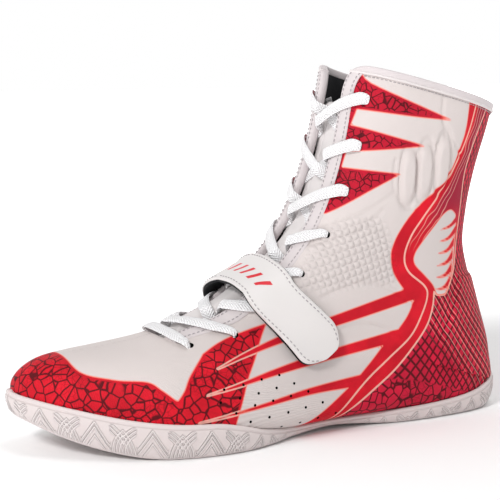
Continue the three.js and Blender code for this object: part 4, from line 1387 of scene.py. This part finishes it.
def build_outsole():
    loop = SOLE_LOOP[0]
    count = len(loop)
    run = run_length(loop)
    run = np.minimum(run, run[-1] - run)
    section = flowing(WALL, 12)
    at = np.linspace(0, 1, WALL_ROWS)
    length = run_length(section * [1, 15])
    outs, shares = (np.interp(at * length[-1], length, section[:, k]) for k in (0, 1))
    rows, downs, lefts = [], [], []
    for out, share in zip(outs, shares):
        base = sole_ring(out, lambda x, top: mix(profile(TREAD, x), top, share))
        high = loop[:, 2] - profile(TREAD, base[:, 0])
        down = (1 - share) * high
        groove = WALL_GROOVE * hollow(down - WALL_GROOVE_DOWN, WALL_GROOVE)
        face = out - groove + MOULDING_HIGH * wall_moulding(run, down, high - down)
        rows.append(sole_ring(face, lambda x, top: mix(profile(TREAD, x), top, share)))
        downs.append(down)
        lefts.append(high - down)
    rows += [sole_ring(out, lambda x, top: top + up) for out, up in WALL_LIP]
    downs += [np.zeros(count)] * len(WALL_LIP)
    lefts += [np.zeros(count)] * len(WALL_LIP)
    points = np.array(rows)
    mesh = Mesh().add(points, sheet_quads(len(rows), count, wrap=True), down=np.array(downs),
                      run=np.broadcast_to(run, points.shape[:2]), left=np.array(lefts))
    # the underside, from side to side, with its tread
    half = SOLE_SIDE + 1
    back = (-np.arange(half)) % count
    under = mix(rows[0][:half, None], rows[0][back][:, None], np.linspace(0, 1, UNDER_COLUMNS)[None, :, None])
    inner = np.sin(np.pi * np.linspace(0, 1, UNDER_COLUMNS))[None]
    ends = np.sin(np.pi * np.linspace(0, 1, half))[:, None]
    under[..., 2] += tread_pattern(under[..., 0], under[..., 1]) * smooth(0, 0.2, inner) * smooth(0, 0.02, ends)
    mesh.add(under, sheet_quads(half, UNDER_COLUMNS))
    # inside, the sole's cup follows the skin down from the feather line
    depth = np.linspace(0, 1, 14)
    grids = []
    middle = (FEATHER[1][0] + FEATHER[-1][0]) / 2
    for side in (1, -1):
        u, v = FEATHER[side]
        uu = mix(u[:, None], middle[:, None], depth)
        vv = side * mix(v[:, None], 1.0, depth)
        grids.append(raised(uu, vv, np.full(uu.shape, -0.7)))
    lip_line = [rows[-1][:half], rows[-1][back]]
    for side in range(2):
        grids[side][:, 0] = lip_line[side]
    cup = np.concatenate([grids[0], grids[1][:, -2::-1]], axis=1)
    cup[:, len(depth) - 1] = (grids[0][:, -1] + grids[1][:, -1]) / 2
    cup[0] = cup[0, 0]
    cup[-1] = cup[-1, 0]
    mesh.add(cup, sheet_quads(*cup.shape[:2]))
    mesh.piece("outsole", ["rubber"], "rubber", weld=True)


# The footbed's rounded edge: [out from the sole's outline, height over the floor].
LINER_EDGE = [[-10.3, 7.8], [-9.8, 8.2], [-9.6, 9.4], [-9.9, 10.6], [-10.8, 11.1], [-13, 11.2]]


def build_sockliner():
    rows = [sole_ring(out, lambda x, top: profile(FLOOR, x) + up)[::4] for out, up in LINER_EDGE]
    count = len(rows[0])
    mesh = Mesh().add(np.array(rows), sheet_quads(len(rows), count, wrap=True))
    half = count // 2 + 1
    back = (-np.arange(half)) % count
    for row in (rows[0], rows[-1]):
        grid = mix(row[:half, None], row[back][:, None], np.linspace(0, 1, 20)[None, :, None])
        mesh.add(grid, sheet_quads(half, 20))
    liner = mesh.piece("sockliner", ["liner"], "foam", weld=True)


# ---------------------------------------- strap

STRAP_SPLIT = 4.3  # height where the white top meets its black backing
BACKING_UNDER = 3.0
BACKING_OVER = 0.35  # how far the backing shows past the top
STRAP_CORNER = 12
STRAP_STAND_OFF = 4.5
STRAP_STITCH = 2.1  # from the strap's edge to its stitching
STRAP_PIECES = {"anchor": (STRAP_ENDS[0], -0.26), "base": (-0.26, -0.02), "tip": (-0.02, STRAP_ENDS[1])}
PATCH_CORNER = 4
HOOK_LAYER = (3.4, 2.6)
LOOP_LAYER = (2.2, -0.3)


def strap_u(v):
    return profile(STRAP_LINE, v)


def strap_skin(v, across):
    """u and v of the skin under a point of the strap; across runs forward from its centre line."""
    v, across = np.broadcast_arrays(np.asarray(v, float), np.asarray(across, float))
    du, dv, steps = 0.02, 0.004, 6

    def slopes(u, w):
        return (skin(u + du, w) - skin(u - du, w)) / (2 * du), (skin(u, w + dv) - skin(u, w - dv)) / (2 * dv)

    run = unit(skin(strap_u(v + 3 * dv), v + 3 * dv) - skin(strap_u(v - 3 * dv), v - 3 * dv))
    side = unit(np.cross(outward(strap_u(v), v), run))
    step = across / steps * np.where(dot(side, slopes(strap_u(v), v)[0]) >= 0, 1, -1)
    u, w = strap_u(v), v
    for _ in range(steps):
        a, b = slopes(u, w)
        aa, ab, bb = dot(a, a), dot(a, b), dot(b, b)
        pa, pb = dot(side, a) * step, dot(side, b) * step
        det = aa * bb - ab * ab
        u, w = u + (pa * bb - pb * ab) / det, w + (pb * aa - pa * ab) / det
    return u, w


def strap_lift(v, across):
    """The strap's front edge stands off the boot where it crosses the instep."""
    return STRAP_STAND_OFF * smooth(-15, 16, across) * smooth(-0.24, -0.06, v) * (1 - smooth(0.17, 0.3, v))


def strap_point(v, across, height):
    u, w = strap_skin(v, across)
    return raised(u, w, np.broadcast_to(height + strap_lift(v, across), u.shape))


def strap_run(v):
    """Distance along the strap's centre line from v = 0."""
    fine = np.linspace(-0.6, 0.42, 1500)
    run = run_length(raised(strap_u(fine), fine, np.full(fine.shape, STRAP_TOP)))
    return np.interp(v, fine, run) - np.interp(0, fine, run)


def strap_half(v, wide=STRAP_WIDE):
    left = strap_run(STRAP_ENDS[1]) - strap_run(v)
    inset = STRAP_CORNER - np.clip(left, 0, STRAP_CORNER)
    return wide / 2 - STRAP_CORNER + np.sqrt(np.maximum(STRAP_CORNER**2 - inset**2, 1.0))


def strap_shift(v):
    """How far the strap's front edge draws back along its middle."""
    return 1.5 * smooth(-0.1, 0.14, v) * (1 - smooth(0.26, 0.4, v))


def strap_vs(start, stop, step=1.1):
    long = strap_run(stop) - strap_run(start)
    v = even(lambda w: skin(strap_u(w), w), start, stop, int(long / step) + 1, 900)
    if stop < STRAP_ENDS[1]:
        return v
    close = stop - (stop - v[-9]) * (1 - np.linspace(0, 1, 16)) ** 2
    return np.concatenate([v[:-9], close])


def lift_off(v):
    """The sewn end lies on the upper; the rest of the strap runs over the laces."""
    return smooth(-0.5, -0.4, v)


def add_strap_layer(mesh, v, low, high, crown, material, wider=0.0, columns=38):
    """One layer of the strap as a closed tube with rounded edges."""
    half = strap_half(v)[:, None] + wider - strap_shift(v)[:, None]
    top = np.linspace(-1, 1, columns)
    share = np.concatenate([top, top[::-4]])
    upper = np.concatenate([np.ones(columns), np.zeros(len(top[::-4]))])
    from_edge = half * (1 - np.abs(share))
    across = share * half - strap_shift(v)[:, None]
    left = (strap_run(STRAP_ENDS[1]) - strap_run(v))[:, None]
    round_off = 1 - np.sqrt(np.clip(1 - (1 - np.clip(from_edge / 1.1, 0, 1)) ** 2, 0, 1))
    seam = 0.14 * hollow(from_edge - STRAP_STITCH, 0.45) * (left > 2)
    height = np.where(upper > 0, high + crown * (1 - share**2) - seam - (high - low) * 0.75 * round_off, low)
    height = height - (1 - lift_off(v))[:, None] * (low - 0.4 if crown else low + 0.2)
    vv = np.broadcast_to(v[:, None], across.shape)
    points, faces = sweep(strap_point(vv, across, height))
    mesh.add(points, faces, material, run=strap_run(vv), side=across)


def add_strap_stitches(mesh, v, material):
    inner = strap_run(STRAP_ENDS[1]) - strap_run(v) > STRAP_STITCH
    v = v[inner]
    half = strap_half(v) - strap_shift(v) - STRAP_STITCH
    for side in (1, -1):
        across = side * half - strap_shift(v)
        u, w = strap_skin(v, across)
        height = STRAP_TOP - (1 - lift_off(v)) * (STRAP_SPLIT - 0.4)
        height = height + strap_lift(v, across)
        mesh.add(*stitches(raised(u, w, height), outward(u, w), pitch=2.8, long=1.8, thread=0.28, lift=0.1),
                 material)


def build_strap():
    bends = {"base": (-0.25, -0.15), "tip": (0.05, 0.15)}
    for part, ends in STRAP_PIECES.items():
        v = strap_vs(*ends)
        mesh = Mesh()
        add_strap_layer(mesh, v, STRAP_SPLIT, STRAP_TOP, 0.3, 0)
        add_strap_layer(mesh, v, BACKING_UNDER, STRAP_SPLIT, 0.0, 1, BACKING_OVER)
        add_strap_stitches(mesh, v, 2)
        body = None if part in bends else "boot"
        piece = mesh.piece(f"strap_{part}", ["leather", "black", "thread"], "leather_white", body)
        if part in bends:
            start, end = (tuple(strap_point(w, 0, STRAP_TOP) * MM) for w in bends[part])
            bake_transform(piece)


def build_patch(node, ends, wide, layer, look, body="boot"):
    """Hook or loop patch: a flat pad with rounded corners that follows the strap."""
    v = strap_vs(*ends, 1.2)
    run = strap_run(v)
    near = np.minimum(run - run[0], run[-1] - run)
    inset = PATCH_CORNER - np.clip(near, 0, PATCH_CORNER)
    half = wide / 2 - PATCH_CORNER + np.sqrt(np.maximum(PATCH_CORNER**2 - inset**2, 0.04))
    across = half[:, None] * np.linspace(-1, 1, 27)
    u, w = strap_skin(np.broadcast_to(v[:, None], across.shape), across)
    fuzz = 0.12 * np.sin(across * 2.9) * np.sin(run[:, None] * 2.9)
    mesh = add_slab(Mesh(), u, w, layer[0] + fuzz, layer[1])
    mesh.piece(node, [look], "hook_loop", body, weld=True)


build_outsole()
build_sockliner()
build_strap()
build_patch("strap_hook", (0.3, 0.398), STRAP_WIDE - 4, HOOK_LAYER, "hook", "strap_tip_part")
build_patch("loop_patch", (0.29, 0.4), STRAP_WIDE - 6, LOOP_LAYER, "loop")

HIDDEN = {"midsole": "foam", "lasting_filler": "foam", "insole_board": "board", "toe_puff": "board",
          "heel_counter": "board"}
for node, look in HIDDEN.items():
    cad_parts[node].data.materials.clear()
    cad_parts[node].data.materials.append(MATERIAL[look])
